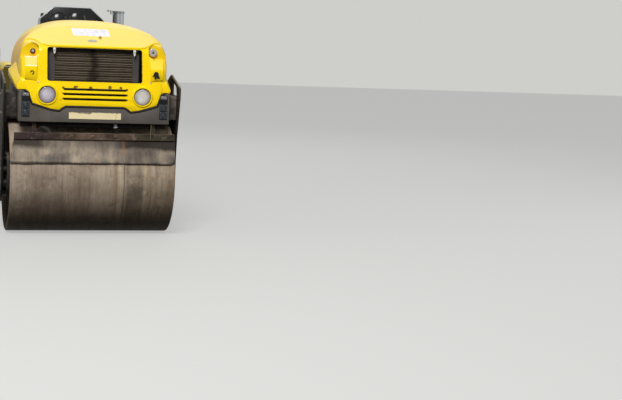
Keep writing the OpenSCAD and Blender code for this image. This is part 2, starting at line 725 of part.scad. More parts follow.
// Lamp stacks at the ends of the nose plate
module front_lamps() color([0.12, 0.14, 0.17]) {
    stack_w = 52;
    both_sides() translate([side_x - 50 - stack_w / 2, -nose_y - 18, deck_top + 12]) {
        difference() {
            cube([stack_w, 18, 176]);
            translate([6, -1, 6]) cube([stack_w - 12, 5, 52]);
            translate([6, -1, 66]) cube([stack_w - 12, 5, 52]);
        }
        for (z = [32, 92]) translate([stack_w / 2, 0, z]) rod_y(-3, 8, 19);
    }
}
module number_plate() color([0.93, 0.89, 0.75]) {
    plate_w = 408;
    plate_h = 52;
    block(plate_w, -nose_y - 4, -nose_y, deck_top - 9, deck_top - 9 + plate_h);
}
module rear_lamps() color([0.5, 0.05, 0.04]) at_rear() {
    both_sides() for (x = [430, 520]) translate([x, 0, deck_top + 70]) {
        rod_y(-nose_y - 20, 20, 36);
    }
}

// Hitch block: it turns on the upright pin and holds the shaft that the rear frame rocks on
bearing_front = 150;
module hitch_block() color([0.28, 0.28, 0.3]) {
    shaft_end = bulkhead_y + 5;
    difference() {
        union() {
            translate([0, 0, hitch_z - block_h / 2]) cylinder(h = block_h, r = block_r);
            translate([0, 0, hitch_z]) {
                rod_y(0, bearing_front - 20, block_r - 8);
                rod_y(bearing_front - 25, 20, block_r + 15);
                rod_y(bearing_front - 25, shaft_end - bearing_front + 25, rock_r);
            }
            plate_z(hitch_z - eye_t / 2, eye_t) {
                translate(rod_pin) circle(r = arm_end_r);
                polygon([[0, block_r - 4], [0, -block_r + 4], [rod_pin.x, rod_pin.y - arm_end_r + 2],
                    [rod_pin.x, rod_pin.y + arm_end_r - 2]]);
            }
        }
        translate([0, 0, hitch_z - block_h / 2 - 1]) cylinder(h = block_h + 2, r = pivot_r + fit_gap);
        translate([rod_pin.x, rod_pin.y, hitch_z - eye_t]) cylinder(h = 2 * eye_t, r = arm_hole_r);
    }
}
// Steering cylinder: barrel with its eye, and the rod with its clevis
module along_cylinder() {
    translate([barrel_pin.x, barrel_pin.y, hitch_z]) rotate([0, 0, cyl_dir]) children();
}
module steer_barrel() color([0.2, 0.2, 0.21]) along_cylinder() difference() {
    union() {
        translate([0, 0, -eye_t / 2]) cylinder(h = eye_t, r = 28);
        translate([0, -20, -eye_t / 2]) cube([50, 40, eye_t]);
        rod_x(40, gland_x - 40, barrel_r);
        rod_x(gland_x - 24, 24, barrel_r + 4);
        for (x = [62, gland_x - 50]) translate([x, 0, 0]) cylinder(h = barrel_r + 12, r = 9);
    }
    translate([0, 0, -eye_t]) cylinder(h = 2 * eye_t, r = cyl_pin_r + fit_gap);
    rod_x(120, gland_x - 119, rod_r + fit_gap);
}
module steer_rod() color("silver") along_cylinder() {
    inner_end = 200;
    cheek_z = eye_t / 2 + 5;
    cheek_r = arm_hole_r + 8;
    rod_x(inner_end, rod_web_x - inner_end, rod_r);
    translate([rod_web_x - rod_web_t, -24, -cheek_z - cheek_t]) cube([rod_web_t, 48, 2 * (cheek_z + cheek_t)]);
    for (z = [cheek_z, -cheek_z - cheek_t]) translate([0, 0, z]) linear_extrude(cheek_t) {
        translate([cyl_l, 0]) circle(r = cheek_r);
        polygon([[rod_web_x - rod_web_t, -24], [cyl_l, -cheek_r], [cyl_l, cheek_r],
            [rod_web_x - rod_web_t, 24]]);
    }
    translate([cyl_l, 0, -cheek_z - cheek_t - 6]) cylinder(h = 2 * (cheek_z + cheek_t + 6), r = cyl_pin_r);
}

// Rear frame: the same frame turned round, with the rocking bearing
module rear_frame() color([0.33, 0.31, 0.31]) {
    bearing_r = rock_r + bearing_wall;
    bore_r = rock_r + fit_gap;
    rib_t = 20;
    difference() {
        union() {
            at_rear() half_frame(side_outline(150, 150, 700));
            translate([0, 0, hitch_z]) rod_y(bearing_front, bulkhead_y + bulkhead_t - bearing_front, bearing_r);
        }
        translate([0, 0, hitch_z]) rod_y(bearing_front - 1, bulkhead_y, bore_r);
    }
    // Rib over the bearing
    plate_x(-rib_t / 2, rib_t) polygon([[bulkhead_y, hitch_z + bearing_r + 110],
        [bulkhead_y, hitch_z + bearing_r - 5], [bearing_front + 40, hitch_z + bearing_r - 5],
        [bearing_front + 40, hitch_z + bearing_r + 20]]);
}
// Beams that carry the platform: two along the machine and two across
module platform_beams() color([0.3, 0.28, 0.28]) {
    beam_x = 300;
    beam_y0 = -150;
    beam_h = 90;
    beam_t = 12;
    cross = 40;
    both_sides() plate_x(beam_x, beam_t) polygon(rounded([[beam_y0, deck_top - cross, 0],
        [beam_y0 + 60, deck_top - beam_h, 20], [bulkhead_y, deck_top - beam_h, 0], [bulkhead_y, deck_top, 0],
        [beam_y0, deck_top, 0]]));
    for (y = [beam_y0, 200]) block(2 * floor_hw - 60, y, y + cross, deck_top - cross, deck_top);
}
// Platform: tread plate with a nose that leaves room to steer
floor_back = 520;
module platform() color([0.22, 0.22, 0.23]) {
    hw = floor_hw;
    tongue = side_x - side_t - 2;
    plate_z(deck_top, floor_t) polygon(rounded([[-hw, -60, 40], [-200, -330, 80], [200, -330, 80],
        [hw, -60, 40], [hw, bulkhead_y, 0], [tongue, bulkhead_y, 0], [tongue, floor_back, 0],
        [-tongue, floor_back, 0], [-tongue, bulkhead_y, 0], [-hw, bulkhead_y, 0]]));
    both_sides() translate([hw - 8, -20, deck_top - 45]) cube([8, bulkhead_y - 20, 45]);
}
// Steps at each side, hung from the platform
module steps() color([0.24, 0.24, 0.25]) {
    hanger_t = 10;
    outer = floor_hw - 10;
    depth = 110;
    y0 = 60;
    y1 = 340;
    both_sides() {
        for (y = [y0, y1 - hanger_t]) plate_y(y, hanger_t) polygon(rounded([[outer - depth, deck_top - 45, 0],
            [outer - depth, deck_top - 470, 30], [outer, deck_top - 470, 30], [outer, deck_top - 45, 0]]));
        for (z = [deck_top - 460, deck_top - 235]) translate([outer - depth, y0, z])
            cube([depth, y1 - y0, 8]);
        translate([outer - depth, y0, deck_top - 53]) cube([depth, y1 - y0, 8]);
        for (y = [y0, y1 - hanger_t]) translate([outer - depth, y, deck_top - 46]) cube([30, hanger_t, 46]);
    }
}
// Dashboard: the crossing of its front outline and its side outline
module console() color([0.13, 0.13, 0.15]) {
    base_hw = 200;
    top = deck_top + dash_h;
    foot = deck_top + floor_t;
    column_l = 165;
    translate([dash_x, 0, 0]) intersection() {
        plate_y(-200, 500) polygon(rounded([[-base_hw, foot, 0], [base_hw, foot, 0], [base_hw, top - 520, 80],
            [dash_hw, top - 360, 60], [dash_hw, top - 110, 30], [dash_top_hw, top, 26], [-dash_top_hw, top, 26],
            [-dash_hw, top - 110, 30], [-dash_hw, top - 360, 60], [-base_hw, top - 520, 80]]));
        plate_x(-dash_hw, 2 * dash_hw) polygon(rounded([[-70, foot, 0], [70, foot, 0], [70, top - 440, 60],
            [150, top - 340, 30], [150, top - 215, 40], [-56, top, 14], [-96, top, 14], [-110, top - 330, 60],
            [-70, top - 480, 60]]));
    }
    at_wheel() difference() {
        translate([0, 0, -column_l]) cylinder(h = column_l - 22, r = 24);
        translate([0, 0, -90]) cylinder(h = 90, r = 10 + fit_gap);
    }
}
wheel_centre = [dash_x, 236, deck_top + dash_h - 120];
module at_wheel() {
    translate(wheel_centre) rotate([-column_lean, 0, 0]) children();
}
module steering_wheel() color([0.06, 0.06, 0.06]) at_wheel() {
    spokes = 3;
    rotate_extrude() translate([wheel_r - rim_r, 0]) circle(r = rim_r, $fn = 24);
    translate([0, 0, -16]) cylinder(h = 26, r = 34);
    translate([0, 0, -80]) cylinder(h = 66, r = 10);
    for (i = [0 : spokes - 1]) rotate([0, 0, 360 * i / spokes + 30]) rod_x(20, wheel_r - rim_r - 20, 8);
    // Spinner knob
    translate([wheel_r - rim_r, 0, 0]) cylinder(h = 30, r = 7);
    translate([wheel_r - rim_r, 0, 26]) cylinder(h = 34, r = 16);
}
// Travel levers at each side of the dashboard
module travel_levers() color([0.08, 0.08, 0.08]) {
    lever_x = dash_hw - 50;
    foot = [lever_x, 140, deck_top + dash_h - 235];
    translate([dash_x, 0, 0]) both_sides() translate(foot) {
        rod_y(10, 24, 20);
        translate([0, 32, 0]) rotate([-12, 0, 0]) {
            cylinder(h = 150, r = 7);
            translate([0, 0, 130]) cylinder(h = 50, r = 17);
        }
    }
}

// Tank and battery box behind the seat, with rounded shoulders and a sloped rear
module tank() color([1, 0.84, 0.05]) {
    hw = side_x - side_t - 2;
    top = deck_top + tank_h;
    rear = nose_y - nose_t - 2;
    intersection() {
        plate_y(floor_back, rear - floor_back) polygon(rounded([[-hw, deck_top, 0], [hw, deck_top, 0],
            [hw, top, 70], [-hw, top, 70]]));
        plate_x(-hw, 2 * hw) polygon(rounded([[floor_back, deck_top, 0], [rear, deck_top, 0],
            [rear, deck_top + 190, 60], [rear - 150, top, 90], [floor_back, top, 30]]));
    }
}
module filler_caps() color("black") {
    both_sides() translate([side_x - 190, nose_y - 280, deck_top + tank_h]) {
        cylinder(h = 14, r = 44);
        translate([0, 0, 14]) cylinder(h = 22, r = 52, $fn = 12);
    }
}
// Handrails beside the seat, from the platform to the outriggers
module handrails() color([0.15, 0.15, 0.16]) {
    rail_x = (side_x + yoke_x) / 2 - 16;
    front_y = 440;
    back_y = 860;
    top = deck_top + 490;
    bend = 70;
    back_foot = deck_bottom + outrigger_h;
    both_sides() translate([rail_x, 0, 0]) {
        translate([0, front_y, deck_top + floor_t]) cylinder(h = top - bend - deck_top - floor_t, r = rail_r);
        translate([0, back_y, back_foot]) cylinder(h = top - bend - back_foot, r = rail_r);
        translate([0, 0, top]) rod_y(front_y + bend, back_y - front_y - 2 * bend, rail_r);
        translate([0, front_y + bend, top - bend]) rotate([0, -90, 0]) rotate([0, 0, -90])
            rotate_extrude(angle = 90) translate([bend, 0]) circle(r = rail_r, $fn = 24);
        translate([0, back_y - bend, top - bend]) rotate([0, -90, 0])
            rotate_extrude(angle = 90) translate([bend, 0]) circle(r = rail_r, $fn = 24);
        translate([0, front_y, deck_top + floor_t]) cylinder(h = 8, r = rail_r + 14);
        translate([0, back_y, back_foot]) cylinder(h = 8, r = rail_r + 14);
    }
}
// Cross rails that the seat slides on
rail_rows = [620, 850];
rail_h = 22;
module seat_rails() color([0.4, 0.4, 0.42]) {
    for (y = rail_rows) {
        block(820, y - 12, y + 12, deck_top + tank_h, deck_top + tank_h + rail_h - 6);
        block(820, y - 20, y + 20, deck_top + tank_h + rail_h - 6, deck_top + tank_h + rail_h);
    }
}
// Carriage: runners round the rails, and the plate that carries the seat
module seat_carriage() color([0.1, 0.1, 0.1]) {
    top = seat_z;
    base = deck_top + tank_h + rail_h + 0.3;
    runner_w = 300;
    block(runner_w, rail_rows[0] - 30, rail_rows[1] + 30, base, top);
    for (y = rail_rows, s = [-1, 1])
        block(runner_w, y + s * 25.5 - 5, y + s * 25.5 + 5, deck_top + tank_h + 4, base);
}
// Seat pan under the cushion and behind the seat's back
module seat_pan() color([0.09, 0.09, 0.09]) {
    pan_t = 10;
    rear = seat_y + seat_l + 14;
    lean = [sin(back_lean), cos(back_lean)];
    out = [cos(back_lean), -sin(back_lean)];
    root = [rear, seat_z + 50];
    back_root = root + out * back_t;
    plate_x(-seat_w / 2 + 30, seat_w - 60) polygon(concat([[seat_y + 20, seat_z], [rear + back_t, seat_z]],
        [back_root + out * pan_t, back_root + out * pan_t + lean * (back_h - 40),
        back_root + lean * (back_h - 40), back_root, root, [rear, seat_z + pan_t], [seat_y + 20, seat_z + pan_t]]));
}
module seat_cushion() color([0.07, 0.07, 0.08]) {
    z = seat_z + 10.3;
    plate_z(z, cushion_t) polygon(rounded([[-seat_w / 2, seat_y, 60], [seat_w / 2, seat_y, 60],
        [seat_w / 2, seat_y + seat_l, 40], [-seat_w / 2, seat_y + seat_l, 40]]));
}
module seat_back() color([0.07, 0.07, 0.08]) {
    rear = seat_y + seat_l + 14;
    translate([0, rear, seat_z + 50]) rotate([-back_lean, 0, 0]) plate_y(0, back_t - 0.3)
        polygon(rounded([[-seat_w / 2 + 15, 0.3, 40], [seat_w / 2 - 15, 0.3, 40],
            [seat_w / 2 - 15, back_h, 80], [-seat_w / 2 + 15, back_h, 80]]));
}

front_frame();
front_nose();
front_outriggers();
hitch_ears();
front_yokes();
front_buffers();
front_hubs();
front_bar();
front_mat();
front_spray();
radiator();
engine();
firewall();
exhaust_pipe();
front_lamps();
number_plate();
hood_seal();
hood_shell();
headlamps();
marker_lamps();
front_drum();
exhaust_cap();
hitch_block();
steer_barrel();
steer_rod();
rear_frame();
rear_nose();
rear_outriggers();
platform_beams();
rear_yokes();
rear_buffers();
rear_hubs();
rear_bar();
rear_mat();
rear_spray();
rear_lamps();
rear_drum();
platform();
steps();
console();
travel_levers();
tank();
filler_caps();
handrails();
seat_rails();
steering_wheel();
seat_carriage();
seat_pan();
seat_cushion();
seat_back();
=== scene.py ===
import bpy
import bmesh
import random
from math import acos, atan2, copysign, cos, exp, hypot, pi, radians, sin, sqrt, tan
from mathutils import Matrix, Vector
from mathutils.bvhtree import BVHTree


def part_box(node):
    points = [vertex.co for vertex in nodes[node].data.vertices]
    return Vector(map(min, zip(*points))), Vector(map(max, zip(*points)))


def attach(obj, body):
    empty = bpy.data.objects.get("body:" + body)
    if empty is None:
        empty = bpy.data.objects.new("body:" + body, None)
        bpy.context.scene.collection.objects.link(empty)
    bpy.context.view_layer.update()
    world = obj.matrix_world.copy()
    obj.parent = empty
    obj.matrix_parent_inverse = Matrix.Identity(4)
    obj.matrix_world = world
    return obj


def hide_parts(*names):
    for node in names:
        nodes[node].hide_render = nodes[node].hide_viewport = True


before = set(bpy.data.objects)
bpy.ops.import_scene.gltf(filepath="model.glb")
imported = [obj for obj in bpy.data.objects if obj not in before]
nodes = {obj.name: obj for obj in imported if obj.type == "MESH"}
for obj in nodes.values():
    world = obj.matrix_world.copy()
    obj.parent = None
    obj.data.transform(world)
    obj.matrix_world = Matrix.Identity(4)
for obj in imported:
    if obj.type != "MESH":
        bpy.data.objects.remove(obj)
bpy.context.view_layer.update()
print("frame loaded:", len(nodes), "nodes")

# Camera, as the photograph was taken
shot = {"place": (-1.5983, -13.1676, 1.7106), "yaw": 16.06, "pitch": 6.51, "roll": 2.367, "lens": 86.79}


def aimCamera(shot):
    yaw, pitch, roll = (radians(shot[k]) for k in ("yaw", "pitch", "roll"))
    ahead = Vector((sin(yaw) * cos(pitch), cos(yaw) * cos(pitch), -sin(pitch)))
    right = Vector((cos(yaw), -sin(yaw), 0))
    up = right.cross(ahead)
    tiltedRight = right * cos(roll) + up * sin(roll)
    tiltedUp = -right * sin(roll) + up * cos(roll)
    data = bpy.data.cameras.new("viewCamera")
    data.lens, data.sensor_width = shot["lens"], 36
    data.clip_start, data.clip_end = 0.5, 200
    camera = bpy.data.objects.new("viewCamera", data)
    turn = Matrix((tiltedRight, tiltedUp, -ahead)).transposed().to_4x4()
    camera.matrix_world = Matrix.Translation(shot["place"]) @ turn
    bpy.context.collection.objects.link(camera)
    bpy.context.scene.camera = camera


aimCamera(shot)


def pair(operation):
    # a sum of two values, as a method
    return lambda self, other: self.sum(operation, self, other)


# Shader maths: a socket that takes part in sums
class Wire:
    __add__ = __radd__ = pair("ADD")
    __mul__ = __rmul__ = pair("MULTIPLY")
    __sub__, __truediv__, __pow__ = pair("SUBTRACT"), pair("DIVIDE"), pair("POWER")

    def __init__(self, finish, socket):
        self.finish, self.socket = finish, socket

    def sum(self, operation, *values):
        return self.finish.node("ShaderNodeMath", {"operation": operation}, dict(enumerate(values)))

    def __rsub__(self, other):
        return self.sum("SUBTRACT", other, self)

    def __abs__(self):
        return self.sum("ABSOLUTE", self)


def paint(r, g, b):
    # a colour as a screen shows it, 0 to 255, turned into the linear one that a shader takes
    return tuple(((c / 255 + 0.055) / 1.055) ** 2.4 if c > 10 else c / 255 / 12.92 for c in (r, g, b)) + (1,)


def fill(node, values):
    for key, value in values.items():
        node.inputs[key].default_value = value


# A material under construction
class Finish:
    def __init__(self, name, roughness=0.5, metallic=0.0, coat=0.0, specular=0.5, **constants):
        self.material = bpy.data.materials.new(name)
        self.material.use_nodes = True
        self.tree = self.material.node_tree
        self.shader = next(n for n in self.tree.nodes if n.type == "BSDF_PRINCIPLED")
        fill(self.shader, {"Roughness": roughness, "Metallic": metallic, "Coat Weight": coat,
                "Specular IOR Level": specular})
        fill(self.shader, {socket.replace("_", " "): value for socket, value in constants.items()})
        self.coordinates = self.tree.nodes.new("ShaderNodeTexCoord")
        self.place = Wire(self, self.coordinates.outputs["Object"])
        split = self.tree.nodes.new("ShaderNodeSeparateXYZ")
        self.tree.links.new(self.place.socket, split.inputs[0])
        self.x, self.y, self.z = (Wire(self, split.outputs[i]) for i in range(3))
        facing = self.tree.nodes.new("ShaderNodeSeparateXYZ")
        self.tree.links.new(self.coordinates.outputs["Normal"], facing.inputs[0])
        self.faceX, self.faceY, self.faceZ = (Wire(self, facing.outputs[i]) for i in range(3))

    def node(self, kind, settings=None, sockets=None, out=0):
        made = self.tree.nodes.new(kind)
        for key, value in (settings or {}).items():
            if key == "stops":
                ramp = made.color_ramp
                while len(ramp.elements) < len(value):
                    ramp.elements.new(0.5)
                for element, (at, colour) in zip(ramp.elements, value):
                    element.position, element.color = at, colour
            else:
                setattr(made, key, value)
        for key, value in (sockets or {}).items():
            if isinstance(value, Wire):
                self.tree.links.new(value.socket, made.inputs[key])
            else:
                made.inputs[key].default_value = value
        return Wire(self, made.outputs[out])

    def stretched(self, x=1, y=1, z=1):
        return self.node("ShaderNodeMapping", None, {"Vector": self.place, "Scale": (x, y, z)})

    def noise(self, scale, detail=4, roughness=0.55, at=None):
        return self.node("ShaderNodeTexNoise", None, {"Vector": at or self.place, "Scale": scale,
                "Detail": detail, "Roughness": roughness})

    def spots(self, low, high, *noise):
        return self.step(self.noise(*noise), low, high)

    def cells(self, scale):
        return self.node("ShaderNodeTexVoronoi", None, {"Vector": self.place, "Scale": scale})

    def step(self, value, low, high):
        # 0 below low, 1 above high, and smooth between
        return self.node("ShaderNodeMapRange", {"interpolation_type": "SMOOTHSTEP"},
                {"Value": value, "From Min": low, "From Max": high})

    def below(self, value, low, high):
        return 1 - self.step(value, low, high)

    def slope(self, value, low, high):
        return self.node("ShaderNodeMapRange", None, {"Value": value, "From Min": low, "From Max": high})

    def between(self, value, low, high, soft=0.004):
        return self.step(value, low - soft, low + soft) * self.below(value, high - soft, high + soft)

    def mix(self, mask, first, second):
        # colour sockets of the Mix node are numbers 6 and 7, its colour result is number 2
        first, second = (c if isinstance(c, Wire) else paint(*c) for c in (first, second))
        return self.node("ShaderNodeMix", {"data_type": "RGBA"}, {0: mask, 6: first, 7: second}, out=2)

    def over(self, mask, colour):
        # lays a colour over those below it, where the mask is 1
        self.colour = self.mix(mask, self.colour, colour)

    def ramp(self, value, *stops):
        stops = [(at, paint(*colour)) for at, colour in stops]
        return self.node("ShaderNodeValToRGB", {"stops": stops}, {"Fac": value})

    def edges(self, radius=0.004):
        # 1 on an edge, 0 on a flat face
        soft = self.node("ShaderNodeBevel", {"samples": 4}, {"Radius": radius})
        hard = self.tree.nodes.new("ShaderNodeNewGeometry")
        turn = self.node("ShaderNodeVectorMath", {"operation": "DOT_PRODUCT"},
                {0: soft, 1: Wire(self, hard.outputs["Normal"])}, out="Value")
        return self.below(turn, 0.72, 0.99)

    def feed(self, socket, value):
        if isinstance(value, Wire):
            self.tree.links.new(value.socket, self.shader.inputs[socket])
        else:
            self.shader.inputs[socket].default_value = value

    def bump(self, height, strength=0.3, distance=0.001, rounded=0.0):
        sockets = {"Strength": strength, "Distance": distance, "Height": height}
        if rounded:
            sockets["Normal"] = self.node("ShaderNodeBevel", {"samples": 4}, {"Radius": rounded})
        self.feed("Normal", self.node("ShaderNodeBump", None, sockets))

    def done(self):
        self.feed("Base Color", self.colour)
        return self.material

    def blot(self, x, z, radius, rough=0.5):
        # a ragged spot on a face that looks along Y
        far = ((self.x - x) ** 2 + (self.z - z) ** 2) ** 0.5
        ragged = far + (self.noise(90, 4, 0.7) - 0.5) * (radius * 2 * rough)
        return self.below(ragged, radius * 0.6, radius)


# Finishes
grime = (78, 66, 54)
dust = (150, 137, 120)
soot = (34, 29, 25)


def makeYellow(name, nose):
    f = Finish(name, roughness=0.32, specular=0.06, Coat_Roughness=0.1)
    f.feed("Coat Weight", f.step(0 - f.faceY, 0.1, 0.6) * 0.22 + 0.04)
    f.colour = f.mix(f.noise(3, 3) * 0.6, (255, 219, 0), (250, 208, 0))
    # what faces up is painted pale, a painted reflection of the sky; on the nose only above its brow
    skySheen = f.step(f.faceZ, 0.3, 0.5)
    if nose:
        brow = 1.507 + f.step(abs(f.x), 0.385, 0.455) * 0.044
        covers = f.step(abs(f.x), 0.42, 0.43)
        # the ledge above each cover keeps the painted sky reflection
        ledge = f.between(f.z, 1.336, 1.42, 0.003) * covers * (1 - f.step(f.x, -0.1, 0.1) * 0.7)
        onNose = f.below(f.y, -1.3, -1.29) * f.below(f.z - brow, -0.004, 0.004)
        skySheen = skySheen * (1 - onNose * (1 - ledge))
        # painted dark reflection: the sides behind the nose are painted a deeper yellow, and the sides get
        # less of the painted sky reflection
        deep = f.step(abs(f.faceX), 0.6, 0.92) * f.step(f.y, -1.19, -1.15) * f.step(f.z, 1.29, 1.33)
        f.over(deep * 0.65, (214, 150, 0))
        skySheen = skySheen * (1 - f.step(abs(f.faceX), 0.55, 0.85) * 0.6)
    f.over(skySheen * 0.92, (244, 218, 122))
    specks = f.spots(0.7, 0.74, 160, 2) * f.spots(0.45, 0.62, 9, 3)
    dirt = f.spots(0.6, 0.78, 26, 5, 0.7) * 0.35
    if nose:
        # grime lies low on the front and round the slots; the lamps' pockets are painted darker, partly grime
        # and partly painted shade
        front = f.below(f.y, -1.14, -1.1)
        low = f.below(f.z, 1.01, 1.1) * 0.7
        slots = f.between(f.z, 1.06, 1.2, 0.03) * f.below(abs(f.x), 0.24, 0.31)
        pockets = f.between(f.z, 1.392, 1.515, 0.012) * f.step(abs(f.x), 0.425, 0.45) * f.step(f.y, -1.312,
                -1.29)
        dirt = dirt * (low + slots * 0.9 + 0.25) * front + pockets * front * 0.35
        # one blank sticker on the nose's slope, with its edges lifting
        slant = f.x + (f.z - 1.608) * 0.28 + (f.noise(40, 3) - 0.5) * 0.004
        sticker = f.between(slant, -0.172, 0.119, 0.002) * f.between(f.z, 1.582, 1.638, 0.0015) * front
        label = f.mix(f.spots(0.48, 0.66, 34, 4, 0.6) * 0.5, (228, 230, 240), (198, 202, 212))
        f.over(sticker * 0.93, label)
        # a pink patch on the left shoulder
        pinkPatch = f.between(f.y, -0.9, -0.62, 0.015) * f.between(f.z + f.y * 0.2, 1.345, 1.425,
                0.006) * f.below(f.x, -0.1, 0.1)
        f.over(pinkPatch * f.spots(0.3, 0.6, 12, 4) * 0.7, (202, 140, 156))
        # painted highlight lines along the ledge's edges
        highlightLines = f.between(f.z, 1.4035, 1.4095, 0.002) + f.between(f.z, 1.336, 1.342, 0.0015)
        highlightLines = highlightLines * f.between(abs(f.x), 0.453, 0.545, 0.003) * f.below(f.x, -0.1, 0.1)
        f.over(highlightLines * front * 0.8, (255, 250, 226))
        scuff = f.blot(0.045, 1.572, 0.016, 0.35) * front
        f.over(scuff * 0.75, (112, 92, 44))
    f.over(dirt, (186, 140, 22))
    f.over(specks * 0.6, (110, 88, 36))
    if not nose:
        # painted shade: the tank's front ends are painted black beside the platform
        ends = f.below(f.faceY, -0.8, -0.5) * f.below(f.y, 0.53, 0.56)
        f.over(ends * 0.92, (38, 36, 34))
    if nose:
        marks = ((-0.157, 1.179, 0.017), (-0.142, 1.186, 0.009), (-0.036, 1.179, 0.016),
                (0.117, 1.186, 0.017), (0.203, 1.184, 0.014), (-0.249, 1.176, 0.012), (0.25, 1.17, 0.012),
                (-0.25, 1.132, 0.009), (0.25, 1.128, 0.01), (-0.249, 1.092, 0.009), (0.249, 1.09, 0.009))
        for x, z, size in marks:
            f.over(f.blot(x, z, size) * front * 0.85, (58, 44, 24))
        # rust stains below the lamps and the vanished lamp's hole
        for x, z, size in ((-0.481, 1.432, 0.034), (0.466, 1.424, 0.022), (0.486, 1.262, 0.024)):
            f.over(f.blot(x, z, size, 0.5) * front * 0.4, (168, 108, 24))
    f.feed("Roughness", f.slope(f.noise(40, 3), 0.2, 0.8) * 0.16 + 0.24 + specks * 0.3 + skySheen * 0.16)
    f.bump(f.noise(220, 2) * 0.3 + f.noise(5, 2) * 0.7, 0.1, 0.004)
    return f.done()


def makeDusty(name, base, shade, wear=(128, 116, 102), rust=0.3, scale=1.0, edge=0.6, roughness=0.62,
        ends=None, low=0.0):
    f = Finish(name, roughness=roughness, specular=0.12)
    f.colour = f.mix(f.noise(5 * scale, 5), base, shade)
    # dust settles on what faces up, and in broad patches
    settled = f.step(f.faceZ, 0.5, 0.95) * f.slope(f.noise(11 * scale, 4), 0.2, 0.75) * 0.75
    patches = f.spots(0.46, 0.7, 3.2 * scale, 6, 0.65) * 0.5
    runs = f.step(f.noise(26 * scale, 5, 0.6, f.stretched(1, 1, 0.12)), 0.54, 0.72) * 0.4
    f.over(patches, grime)
    f.over(runs, (118, 106, 92))
    f.over(settled, dust)
    if ends:
        # one colour towards the left and another towards the right: on the bar darker on the left and mossy
        # on the right, on the outriggers painted shade on the left one and painted light on the right one
        drift = f.x + (f.noise(6, 4) - 0.5) * 0.5
        f.over(f.below(drift, -0.32, -0.12) * 0.8, ends[0])
        f.over(f.step(drift, 0.16, 0.34) * 0.8, ends[1])
        f.over(f.spots(0.54, 0.66, 20, 5, 0.7) * 0.5, (132, 119, 106))
        f.over(f.spots(0.5, 0.6, 12, 5, 0.65) * 0.55, (34, 29, 28))
    rusty = f.spots(0.61, 0.72, 19 * scale, 7, 0.7) * rust
    f.over(rusty, (104, 66, 42))
    # painted shade: darker below a height of 0.6 to 1.0, used on the yokes
    if low:
        f.over(f.below(f.z, 0.6, 1.0) * low, (10, 9, 7))
    if edge:
        worn = f.edges() * f.slope(f.noise(30 * scale, 4), 0.3, 0.6) * edge
        f.over(worn, wear)
    f.feed("Roughness", f.slope(f.noise(24 * scale, 4), 0.2, 0.8) * 0.25 + (roughness - 0.12))
    f.bump(f.noise(90 * scale, 5, 0.65), 0.3, 0.0014, rounded=0.003)
    return f.done()


